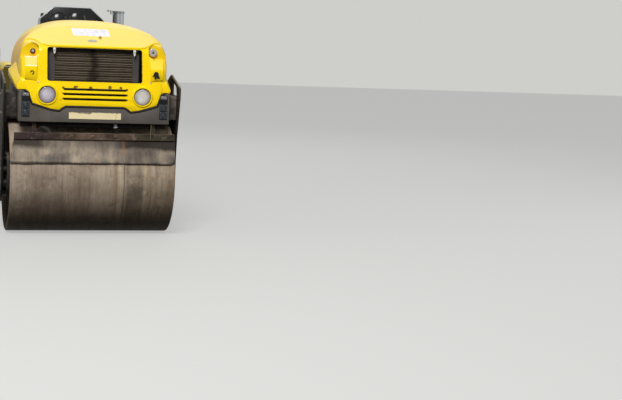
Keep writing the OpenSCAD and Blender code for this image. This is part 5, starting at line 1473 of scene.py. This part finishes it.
def buildWheel():
    w = wheelSizes
    shape, bright = newShapes(2)
    turn = Matrix.Rotation(radians(-w["lean"]), 3, "X")
    centre, axis = Vector(w["centre"]), turn @ Vector((0, 0, 1))
    # the rim has finger waves on its underside
    rings = []
    for a in turns(120):
        out = turn @ Vector((cos(a), sin(a), 0))
        ring = []
        for b in turns(18):
            r = w["rim"] * (1 - 0.07 * max(0, -sin(b)) * (1 + sin(w["grips"] * a)))
            ring.append(centre + out * (w["radius"] + r * cos(b)) + axis * (r * sin(b)))
        rings.append(ring)
    loft(shape, rings + rings[:1], closeEnds=False)
    lathe(shape, [(0.004, 0.0095), (0.026, 0.008), (0.033, 0.002), (0.034, -0.008), (0.03, -0.016)], centre,
            axis, 36)
    for a in turns(w["spokes"], radians(30)):
        out, wide = turn @ Vector((cos(a), sin(a), 0)), turn @ Vector((-sin(a), cos(a), 0))
        rows = []
        for r, half, drop in ((0.022, 0.0125, -0.004), (0.06, 0.01, -0.0045), (0.12, 0.0085, -0.002),
                (0.166, 0.0105, 0.0)):
            at = centre + out * r + axis * drop
            rows.append([at + wide * half * cos(b) + axis * 0.0055 * sin(b) for b in turns(12)])
        loft(shape, rows)
    out = turn @ Vector((1, 0, 0))
    lathe(shape, [(0.008, 0.0595), (0.0145, 0.056), (0.016, 0.046), (0.013, 0.032), (0.008, 0.027)],
            centre + out * w["radius"], axis, 24)
    lathe(bright, [(0.0055, 0.032), (0.0065, 0.01)], centre + out * w["radius"], axis, 16)
    lathe(bright, [(0.0095, -0.014), (0.0098, -0.078)], centre, axis, 24)
    wheel = addShape("wheelRim", shape, "capBlack")
    ride(wheel, "steering_wheel")
    put("wheelShaft", bright, "brightSteel", "steering_wheel")
    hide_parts("steering_wheel")


def buildLevers():
    rubber, steel = newShapes(2)
    for s in (-1, 1):
        foot = Vector((dash["x"] + s * 0.225, 0.172, 1.577))
        lean = Vector((0, sin(radians(12)), cos(radians(12))))
        # bellows round the lever's foot
        outline = [(0.0055, 0.05)]
        for k in range(6):
            outline += [(0.01 + 0.0017 * k, 0.047 - 0.008 * k), (0.0165 + 0.002 * k, 0.043 - 0.008 * k)]
        lathe(rubber, outline + [(0.022, -0.004)], foot, lean, 28)
        boxOf(rubber, (foot.x - 0.026, 0.145, 1.552), (foot.x + 0.026, 0.199, 1.575))
        lathe(steel, [(0.0068, 0.14), (0.0068, 0.02)], foot, lean, 16)
        lathe(rubber, [(0.003, 0.1795), (0.011, 0.176), (0.0165, 0.164), (0.0165, 0.15), (0.011, 0.134),
                (0.008, 0.13)], foot, lean, 24)
    boots = addShape("leverBoots", rubber, "capBlack")
    ride(boots, "rear_frame")
    put("leverRods", steel, "brightSteel", "rear_frame")
    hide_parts("travel_levers")


buildDash()
buildWheel()
buildLevers()
print("controls made")

# Seat: cushion and back are blown up as cloth, then get piping round them and two seams across each
padCloth = {"frames": 20, "quality": 5, "stiffness": 15, "margin": 0.0005}
seatPads = {
    "cushion": {"node": "seat_cushion", "shrink": 0.012, "cap": 0.02, "pressure": 4.0, "voxel": 0.006},
    "back": {"node": "seat_back", "shrink": 0.01, "cap": 0.016, "pressure": 4.0, "voxel": 0.006},
}


def buildPad(name, facts):
    source = nodes[facts["node"]]
    shape = bmesh.new()
    shape.from_mesh(source.data)
    bmesh.ops.remove_doubles(shape, verts=shape.verts, dist=0.00005)
    bmesh.ops.recalc_face_normals(shape, faces=shape.faces)
    shape.normal_update()
    low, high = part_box(facts["node"])
    middle = (low + high) / 2
    for v in shape.verts:
        v.co = middle + (v.co - middle) * (1 - 2 * facts["shrink"] / min(high - low))
    pad = addShape(name, shape, "seatVinyl", merge=0.0001)
    remesh = pad.modifiers.new("remesh", "REMESH")
    remesh.mode, remesh.voxel_size = "VOXEL", facts["voxel"]
    settle(pad)
    before, margin = [v.co.copy() for v in pad.data.vertices], padCloth["margin"]
    cloth = pad.modifiers.new("cloth", "CLOTH")
    cloth.settings.quality = padCloth["quality"]
    cloth.settings.use_pressure = True
    cloth.settings.uniform_pressure_force = facts["pressure"]
    cloth.settings.effector_weights.gravity = 0.0
    cloth.settings.tension_stiffness = cloth.settings.compression_stiffness = padCloth["stiffness"]
    cloth.point_cache.frame_start, cloth.point_cache.frame_end = 1, padCloth["frames"]
    for number in range(1, padCloth["frames"] + 1):
        bpy.context.scene.frame_set(number)
    settle(pad)
    bpy.context.scene.frame_set(1)
    for v, old in zip(pad.data.vertices, before):
        move = v.co - old
        v.co = old + (move.normalized() * min(move.length, facts["cap"]) if move.length > 0 else move)
        v.co = Vector(max(a + margin, min(b - margin, c)) for a, b, c in zip(low, high, v.co))
    smooth = pad.modifiers.new("smooth", "SUBSURF")
    smooth.levels = smooth.render_levels = 1
    settle(pad)
    for polygon in pad.data.polygons:
        polygon.use_smooth = True
    ride(pad, "seat")
    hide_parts(facts["node"])
    return pad


seatCushion = buildPad("seatCushionPad", seatPads["cushion"])
seatBack = buildPad("seatBackPad", seatPads["back"])


def onPad(pad, points, out):
    # the points moved onto the pad's skin
    skin = BVHTree.FromObject(pad, bpy.context.evaluated_depsgraph_get())
    found = []
    for p in points:
        place, normal = skin.find_nearest(Vector(p))[:2]
        found.append(place + normal * out)
    return found


seams = {"piping": 0.0036, "seam": 0.0024, "cushionRows": (0.14, 0.28), "backRows": (0.12, 0.25), "steps": 24,
        "backFoot": (0, 0.974, 1.39), "backLean": 12, "backHalf": 0.212, "backTop": 0.366}


def acrossPad(pad, start, end):
    # a seam sewn straight across
    start, end = Vector(start), Vector(end)
    return onPad(pad, [start.lerp(end, i / seams["steps"]) for i in range(seams["steps"] + 1)], 0.0004)


def buildSeams():
    shape = bmesh.new()
    low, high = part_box("seat_cushion")
    outline = roundCorners([(low.x + 0.002, low.y + 0.002, 0.058), (high.x - 0.002, low.y + 0.002, 0.058),
            (high.x - 0.002, high.y - 0.002, 0.038), (low.x + 0.002, high.y - 0.002, 0.038)], 6)
    middle = (low.z + high.z) / 2 + 0.012
    tube(shape, onPad(seatCushion, [(x, y, middle) for x, y in outline], 0.001), seams["piping"], 8,
            closed=True)
    for row in seams["cushionRows"]:
        y, z = low.y + row, high.z + 0.02
        tube(shape, acrossPad(seatCushion, (low.x + 0.03, y, z), (high.x - 0.03, y, z)), seams["seam"], 6)
    turn, foot = Matrix.Rotation(radians(-seams["backLean"]), 3, "X"), Vector(seams["backFoot"])
    half, top = seams["backHalf"], seams["backTop"]
    back = roundCorners([(-half, 0.004, 0.038), (half, 0.004, 0.038), (half, top, 0.078),
            (-half, top, 0.078)], 6)
    loop = onPad(seatBack, [foot + turn @ Vector((x, 0.035, z)) for x, z in back], 0.001)
    tube(shape, loop, seams["piping"], 8, closed=True)
    for z in seams["backRows"]:
        start, end = (foot + turn @ Vector((x, -0.05, z)) for x in (-0.185, 0.185))
        tube(shape, acrossPad(seatBack, start, end), seams["seam"], 6)
    put("seatPiping", shape, "capBlack", "seat")


buildSeams()
print("seat made")

# Engine under the hood: details on the plain block
motor = {"x": 0.22, "front": -1.095, "back": -0.555, "low": 0.969, "high": 1.309, "headX": 0.132,
        "headTop": 1.419, "fanX": 0.0, "fanZ": 1.215, "fanR": 0.15, "fanY": -1.15, "blades": 7}


def buildEngine():
    m = motor
    iron, paintwork, steel, rubber, dark = newShapes(5)
    # fan with twisted blades, and its shroud against the radiator
    hub = (m["fanX"], m["fanY"], m["fanZ"])
    lathe(dark, [(0.02, 0.022), (0.036, 0.016), (0.036, -0.022), (0.02, -0.026)], hub, (0, -1, 0), 24)
    for a in turns(m["blades"]):
        out, side = Vector((cos(a), 0, sin(a))), Vector((-sin(a), 0, cos(a)))
        rows = []
        for r, half, twist in ((0.03, 0.02, 0.9), (0.08, 0.028, 0.7), (0.125, 0.034, 0.55),
                (m["fanR"], 0.026, 0.45)):
            across = side * cos(twist) + Vector((0, 1, 0)) * sin(twist)
            thick = across.cross(out).normalized() * 0.0015
            at = Vector(hub) + out * r
            rows.append([at - across * half - thick, at + across * half - thick, at + across * half + thick,
                    at - across * half + thick])
        loft(dark, rows)
    turned(dark, [(0.162, -0.03), (0.166, -0.03), (0.17, 0.02), (0.2, 0.044), (0.196, 0.047), (0.165, 0.024)],
            hub, (0, -1, 0), 48)
    # rocker cover with a filler cap, head bolts' boss, manifolds and pulleys
    prism(paintwork, [(-m["headX"] + 0.018, m["headTop"] - 0.002), (m["headX"] - 0.018, m["headTop"] - 0.002),
            (m["headX"] - 0.034, m["headTop"] + 0.03), (-m["headX"] + 0.034, m["headTop"] + 0.03)],
            m["front"] + 0.06, m["back"] - 0.08)
    lathe(dark, [(0.02, 0.02), (0.026, 0.016), (0.026, -0.004)], (0.03, -0.95, m["headTop"] + 0.03),
            (0, 0, 1), 20)
    for k in range(4):
        y = m["front"] + 0.1 + k * 0.115
        tube(iron, [(m["headX"] - 0.004, y, 1.372), (m["headX"] + 0.03, y, 1.372),
                (m["headX"] + 0.05, y, 1.356)], 0.017, 12)
        tube(steel, [(-m["headX"] + 0.004, y, 1.38), (-m["headX"] - 0.02, y, 1.388),
                (-m["x"] + 0.022, y, 1.34), (-m["x"] + 0.022, y, 1.3)], 0.004, 8)
    tube(iron, [(m["headX"] + 0.052, m["front"] + 0.08, 1.35), (m["headX"] + 0.052, m["back"] - 0.1, 1.35)],
            0.024, 16)
    for x, z, r in ((0.0, 1.215, 0.06), (0.0, 1.03, 0.075), (0.13, 1.19, 0.036)):
        turned(steel, [(0.012, -0.014), (r, -0.014), (r - 0.006, -0.004), (r - 0.006, 0.004), (r, 0.014),
                (0.012, 0.014)], (x, m["front"] - 0.018, z), (0, 1, 0), 32)
    # belt round the three pulleys
    belt = [(-0.0735, 1.03), (-0.0585, 1.215), (-0.03, 1.266), (0.02, 1.274), (0.06, 1.258), (0.15, 1.222),
            (0.167, 1.19), (0.16, 1.165), (0.064, 0.99), (0.0, 0.955), (-0.05, 0.975)]
    tube(rubber, [(x, m["front"] - 0.018, z) for x, z in belt], 0.0055, 8, closed=True)
    # alternator, oil filter and injection pump
    turned(steel, [(0.01, -0.06), (0.052, -0.06), (0.055, -0.05), (0.055, 0.04), (0.04, 0.058),
            (0.01, 0.058)], (0.262, m["front"] + 0.08, 1.19), (0, 1, 0), 32)
    lathe(dark, [(0.03, -0.062), (0.038, -0.056), (0.038, 0.052), (0.03, 0.06)],
            (-m["x"] - 0.036, -0.82, 1.11), (0, 0, 1), 24)
    prism(iron, [(-m["x"] - 0.06, 1.16), (-m["x"] + 0.002, 1.16), (-m["x"] + 0.002, 1.26),
            (-m["x"] - 0.05, 1.25)], -1.02, -0.9)
    # ribs along the block
    for k in range(6):
        y = m["front"] + 0.06 + k * 0.085
        for s in (-1, 1):
            boxOf(paintwork, (s * m["x"] - 0.006, y, 0.99), (s * m["x"] + 0.006, y + 0.012, 1.29))
    # air cleaner on the left, with its hose to the head
    turned(dark, [(0.012, -0.11), (0.06, -0.11), (0.066, -0.1), (0.066, 0.1), (0.054, 0.114), (0.012, 0.114)],
            (-0.335, -0.74, 1.345), (0, 1, 0), 32)
    hose = [(-0.335, -0.86, 1.345), (-0.33, -0.915, 1.362), (-0.27, -0.945, 1.392), (-0.19, -0.94, 1.4),
            (-0.12, -0.93, 1.388)]
    tube(rubber, hose, 0.024, 14)
    # coolant hoses between the radiator and the engine
    tube(rubber, [(-0.24, -1.205, 1.44), (-0.23, -1.15, 1.444), (-0.16, -1.1, 1.425), (-0.08, -1.07, 1.4)],
            0.019, 14)
    tube(rubber, [(0.25, -1.205, 1.02), (0.26, -1.14, 1.012), (0.235, -1.08, 1.03), (0.212, -1.05, 1.06)],
            0.019, 14)
    for shape, name, finishName in ((iron, "engineCastings", "castIron"), (paintwork, "engineCovers",
            "enginePaint"), (steel, "enginePulleys", "pipeSteel"), (rubber, "engineHoses", "blackRubber"),
            (dark, "engineFan", "capBlack")):
        put(name, shape, finishName, "front_frame")
    heads = []
    for k in range(5):
        for s in (-1, 1):
            heads.append((Vector((s * (m["headX"] - 0.012), m["front"] + 0.075 + 0.095 * k, m["headTop"])),
                    Vector((0, 0, 1))))
    bolts("engineBolts", "front_frame", heads, radius=0.007, height=0.007)


buildEngine()
print("engine made")

# Rear end: tank door, filler caps and lamps
tail = {"slopeTop": (1.233, 1.29), "slopeFoot": (1.383, 1.135), "door": (0.4, 0.044, 0.16),
        "lampX": (0.43, 0.52), "lampZ": 1.015, "lampY": 1.4, "capX": 0.4, "capY": 1.12, "tankTop": 1.29}


def buildTail():
    t = tail
    door, black, red, amber, steel = newShapes(5)
    top, foot = Vector((0, *t["slopeTop"])), Vector((0, *t["slopeFoot"]))
    down = (foot - top).normalized()
    out = Vector((0, -down.z, down.y))
    half, near, far = t["door"]
    rings = []
    for scale, lift in ((1.0, -0.002), (1.0, 0.004), (0.992, 0.006)):
        outline = roundedOutline(half * scale, (far - near) / 2 * (scale if scale == 1 else 0.96), 0.018,
                (0, (near + far) / 2))
        rings.append([top + down * b + Vector((a, 0, 0)) + out * lift for a, b in outline])
    loft(door, rings)
    for x in (-0.28, 0.28):
        at = top + down * (near + 0.03) + Vector((x, 0, 0))
        lathe(black, [(0.01, 0.02), (0.017, 0.017), (0.02, 0.006), (0.02, 0.0)], at, out, 28)
        tube(steel, [at + out * 0.021 - down * 0.011, at + out * 0.021 + down * 0.011], 0.0035, 8)
    for x in (-0.22, 0.22):
        at = top + down * (far + 0.004) + Vector((x, 0, 0))
        tube(black, [at + Vector((-0.035, 0, 0)) + out * 0.004, at + Vector((0.035, 0, 0)) + out * 0.004],
                0.006, 12)
    # filler caps with a grip round them
    for s in (-1, 1):
        place = (s * t["capX"], t["capY"], t["tankTop"])
        turned(black, [(0.001, 0.03), (0.04, 0.033), (0.047, 0.03), (0.05, 0.022), (0.05, 0.006),
                (0.04, 0.004), (0.001, 0.004)], place, (0, 0, 1), 48)
        for a in turns(16):
            lathe(black, [(0.0032, 0.028), (0.0045, 0.024), (0.0045, 0.008)], (place[0] + 0.0485 * cos(a),
                    place[1] + 0.0485 * sin(a), place[2]), (0, 0, 1), 8)
        turned(steel, [(0.044, -0.001), (0.056, -0.001), (0.055, 0.005), (0.044, 0.006)],
                place, (0, 0, 1), 48)
    # round lamps in pairs, amber outside and red inside
    for s in (-1, 1):
        for x, lens in ((t["lampX"][0], red), (t["lampX"][1], amber)):
            place = (s * x, t["lampY"], t["lampZ"])
            turned(black, [(0.03, 0.0), (0.036, 0.0), (0.036, 0.008), (0.033, 0.012), (0.03, 0.01)], place,
                    (0, 1, 0), 40)
            lathe(lens, [(0.002, 0.0195), (0.014, 0.0185), (0.025, 0.015), (0.0302, 0.009), (0.0302, 0.0)],
                    place, (0, 1, 0), 40)
            for r in (0.01, 0.018, 0.025):
                high = 0.0195 - r * r * 7.2
                turned(lens, [(r - 0.0012, high - 0.003), (r, high + 0.0008), (r + 0.0012, high - 0.003)],
                        place, (0, 1, 0), 40)
    pieces = [(door, "tankDoor", "tankYellow", "hood_yellow"), (black, "tailBlack", "capBlack", "cap_black"),
            (red, "tailRedLenses", "lampRed", "lamp_red"),
            (amber, "tailAmberLenses", "lampAmber", "lamp_red"),
            (steel, "tailSteel", "pipeSteel", "cap_black")]
    for shape, name, finishName, slotName in pieces:
        put(name, shape, finishName, "rear_frame")
    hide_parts("rear_lamps")
    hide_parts("rear_lamps")
    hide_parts("filler_caps")


buildTail()

# Tread: short raised bars over the platform, laid by a tree
treadSizes = {"pitch": 0.03, "length": 0.02, "width": 0.005, "height": 0.0022}


def treadBar(add, join, given):
    size, cube = add("ShaderNodeCombineXYZ"), add("GeometryNodeMeshCube")
    for label, axis in (("barLength", "X"), ("barWidth", "Y"), ("barHeight", "Z")):
        join(given[label], size.inputs[axis])
    join(size.outputs[0], cube.inputs["Size"])
    return cube.outputs["Mesh"]


def layTread():
    points, ways = [], []
    pitch = treadSizes["pitch"]
    low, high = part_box("platform")
    clear = [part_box("console"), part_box("seat_rails")]
    rows, columns = int((high.y - low.y - 0.03) / pitch), int((high.x - low.x - 0.03) / pitch)
    for i in range(rows):
        for k in range(columns):
            x = low.x + 0.025 + k * pitch
            y = low.y + 0.025 + i * pitch
            if any(a.x - 0.02 < x < b.x + 0.02 and a.y - 0.02 < y < b.y + 0.02 and a.z < high.z + 0.02
                    for a, b in clear):
                continue
            reach = 0.63 if y > -0.06 else 0.18 + (y + 0.33) / 0.27 * 0.45
            if (y > 0.5 and abs(x) < 0.6) or abs(x) > reach - 0.012:
                continue
            points.append((x, y, high.z + treadSizes["height"] / 2 - 0.0004))
            ways.append(Vector((1, 1 if (i + k) % 2 else -1, 0)).normalized())
    tree = scatterTree("treadBars", ("barLength", "barWidth", "barHeight"), "X", treadBar)
    sizes = {"barLength": treadSizes["length"], "barWidth": treadSizes["width"],
            "barHeight": treadSizes["height"]}
    piece = growPoints("platformTread", tree, points, ways, {**sizes, "Finish": finishes["treadBlack"]})
    ride(piece, "rear_frame")


layTread()


# Hoses to the drum motors: a pair behind each yoke
motorHoses = {"x": (0.667, 0.667, 0.668, 0.667), "z": (0.5, 0.62, 0.76, 0.925), "apart": (1, 1, 1.3, 1),
        "half": 0.018, "radius": 0.0085}


def buildHoses():
    for name, end in ends:
        shape = bmesh.new()
        for s in (-1, 1):
            for half in (-motorHoses["half"], motorHoses["half"]):
                path = [(s * x, end * drumSizes["axleY"] + half * apart, z)
                        for x, z, apart in zip(*(motorHoses[k] for k in ("x", "z", "apart")))]
                tube(shape, path, motorHoses["radius"], 12)
        put(name + "MotorHoses", shape, "blackRubber", name + "_frame")


buildHoses()
print("engine, tail and tread made")

# Floor and light
studio = {"floorSize": 60.0, "floor": paint(206, 206, 202), "floorPaint": paint(132, 132, 130), "glow": 0.41,
          "bounce": paint(30, 28, 26), "world": 0.24, "aim": (0, 0, 0.8),
          # each lamp: place, size and power
          "lamps": {"keyLight": ((-2.4, -9.1, 8.2), 4.0, 1080), "fillLight": ((8.0, -2.5, 4.0), 5.0, 150),
                    "sideLight": ((-8.5, -4.5, 4.0), 5.0, 130), "backLight": ((2.0, 8.0, 7.0), 6.0, 200)}}


def buildStudio():
    shape = bmesh.new()
    bmesh.ops.create_grid(shape, x_segments=1, y_segments=1, size=studio["floorSize"] / 2)
    mesh = bpy.data.meshes.new("floor")
    shape.to_mesh(mesh)
    shape.free()
    # pale to the camera and in reflections, darker for the light that it throws back up
    material = bpy.data.materials.new("floorGrey")
    material.use_nodes = True
    tree = material.node_tree
    pale = next(n for n in tree.nodes if n.type == "BSDF_PRINCIPLED")
    fill(pale, {"Base Color": studio["floorPaint"], "Emission Color": (1, 1, 0.98, 1),
            "Emission Strength": studio["glow"], "Roughness": 0.9, "Specular IOR Level": 0.2})
    dim = tree.nodes.new("ShaderNodeBsdfDiffuse")
    fill(dim, {"Color": studio["bounce"]})
    out = next(n for n in tree.nodes if n.type == "OUTPUT_MATERIAL")
    tree.links.new(paleRay(tree), mixed(tree, dim, pale, out))
    floor = bpy.data.objects.new("floor", mesh)
    mesh.materials.append(material)
    bpy.context.collection.objects.link(floor)
    world = bpy.data.worlds.new("studioWorld")
    bpy.context.scene.world = world
    world.use_nodes = True
    tree = world.node_tree
    sky = next(n for n in tree.nodes if n.type == "BACKGROUND")
    fill(sky, {"Color": (1, 1, 1, 1), "Strength": studio["world"]})
    seen = tree.nodes.new("ShaderNodeBackground")
    fill(seen, {"Color": studio["floor"], "Strength": 1.0})
    out = next(n for n in tree.nodes if n.type == "OUTPUT_WORLD")
    tree.links.new(paleRay(tree), mixed(tree, sky, seen, out))
    for name, (place, size, power) in studio["lamps"].items():
        data = bpy.data.lights.new(name, "AREA")
        data.size, data.energy = size, power
        lamp = bpy.data.objects.new(name, data)
        lamp.location = place
        lamp.rotation_euler = (Vector(studio["aim"]) - Vector(place)).to_track_quat("-Z", "Y").to_euler()
        bpy.context.collection.objects.link(lamp)


def paleRay(tree):
    # 1 for rays from the camera and for reflected and refracted ones
    path = tree.nodes.new("ShaderNodeLightPath")
    total = path.outputs["Is Camera Ray"]
    for label in ("Is Glossy Ray", "Is Transmission Ray"):
        either = tree.nodes.new("ShaderNodeMath")
        either.operation = "MAXIMUM"
        tree.links.new(total, either.inputs[0])
        tree.links.new(path.outputs[label], either.inputs[1])
        total = either.outputs[0]
    return total


def mixed(tree, first, second, out):
    # joins two shaders, and gives back the socket that chooses between them
    choose = tree.nodes.new("ShaderNodeMixShader")
    tree.links.new(first.outputs[0], choose.inputs[1])
    tree.links.new(second.outputs[0], choose.inputs[2])
    tree.links.new(choose.outputs[0], out.inputs["Surface"])
    return choose.inputs[0]


buildStudio()
bpy.context.scene.view_settings.view_transform = "Standard"
print("studio made")
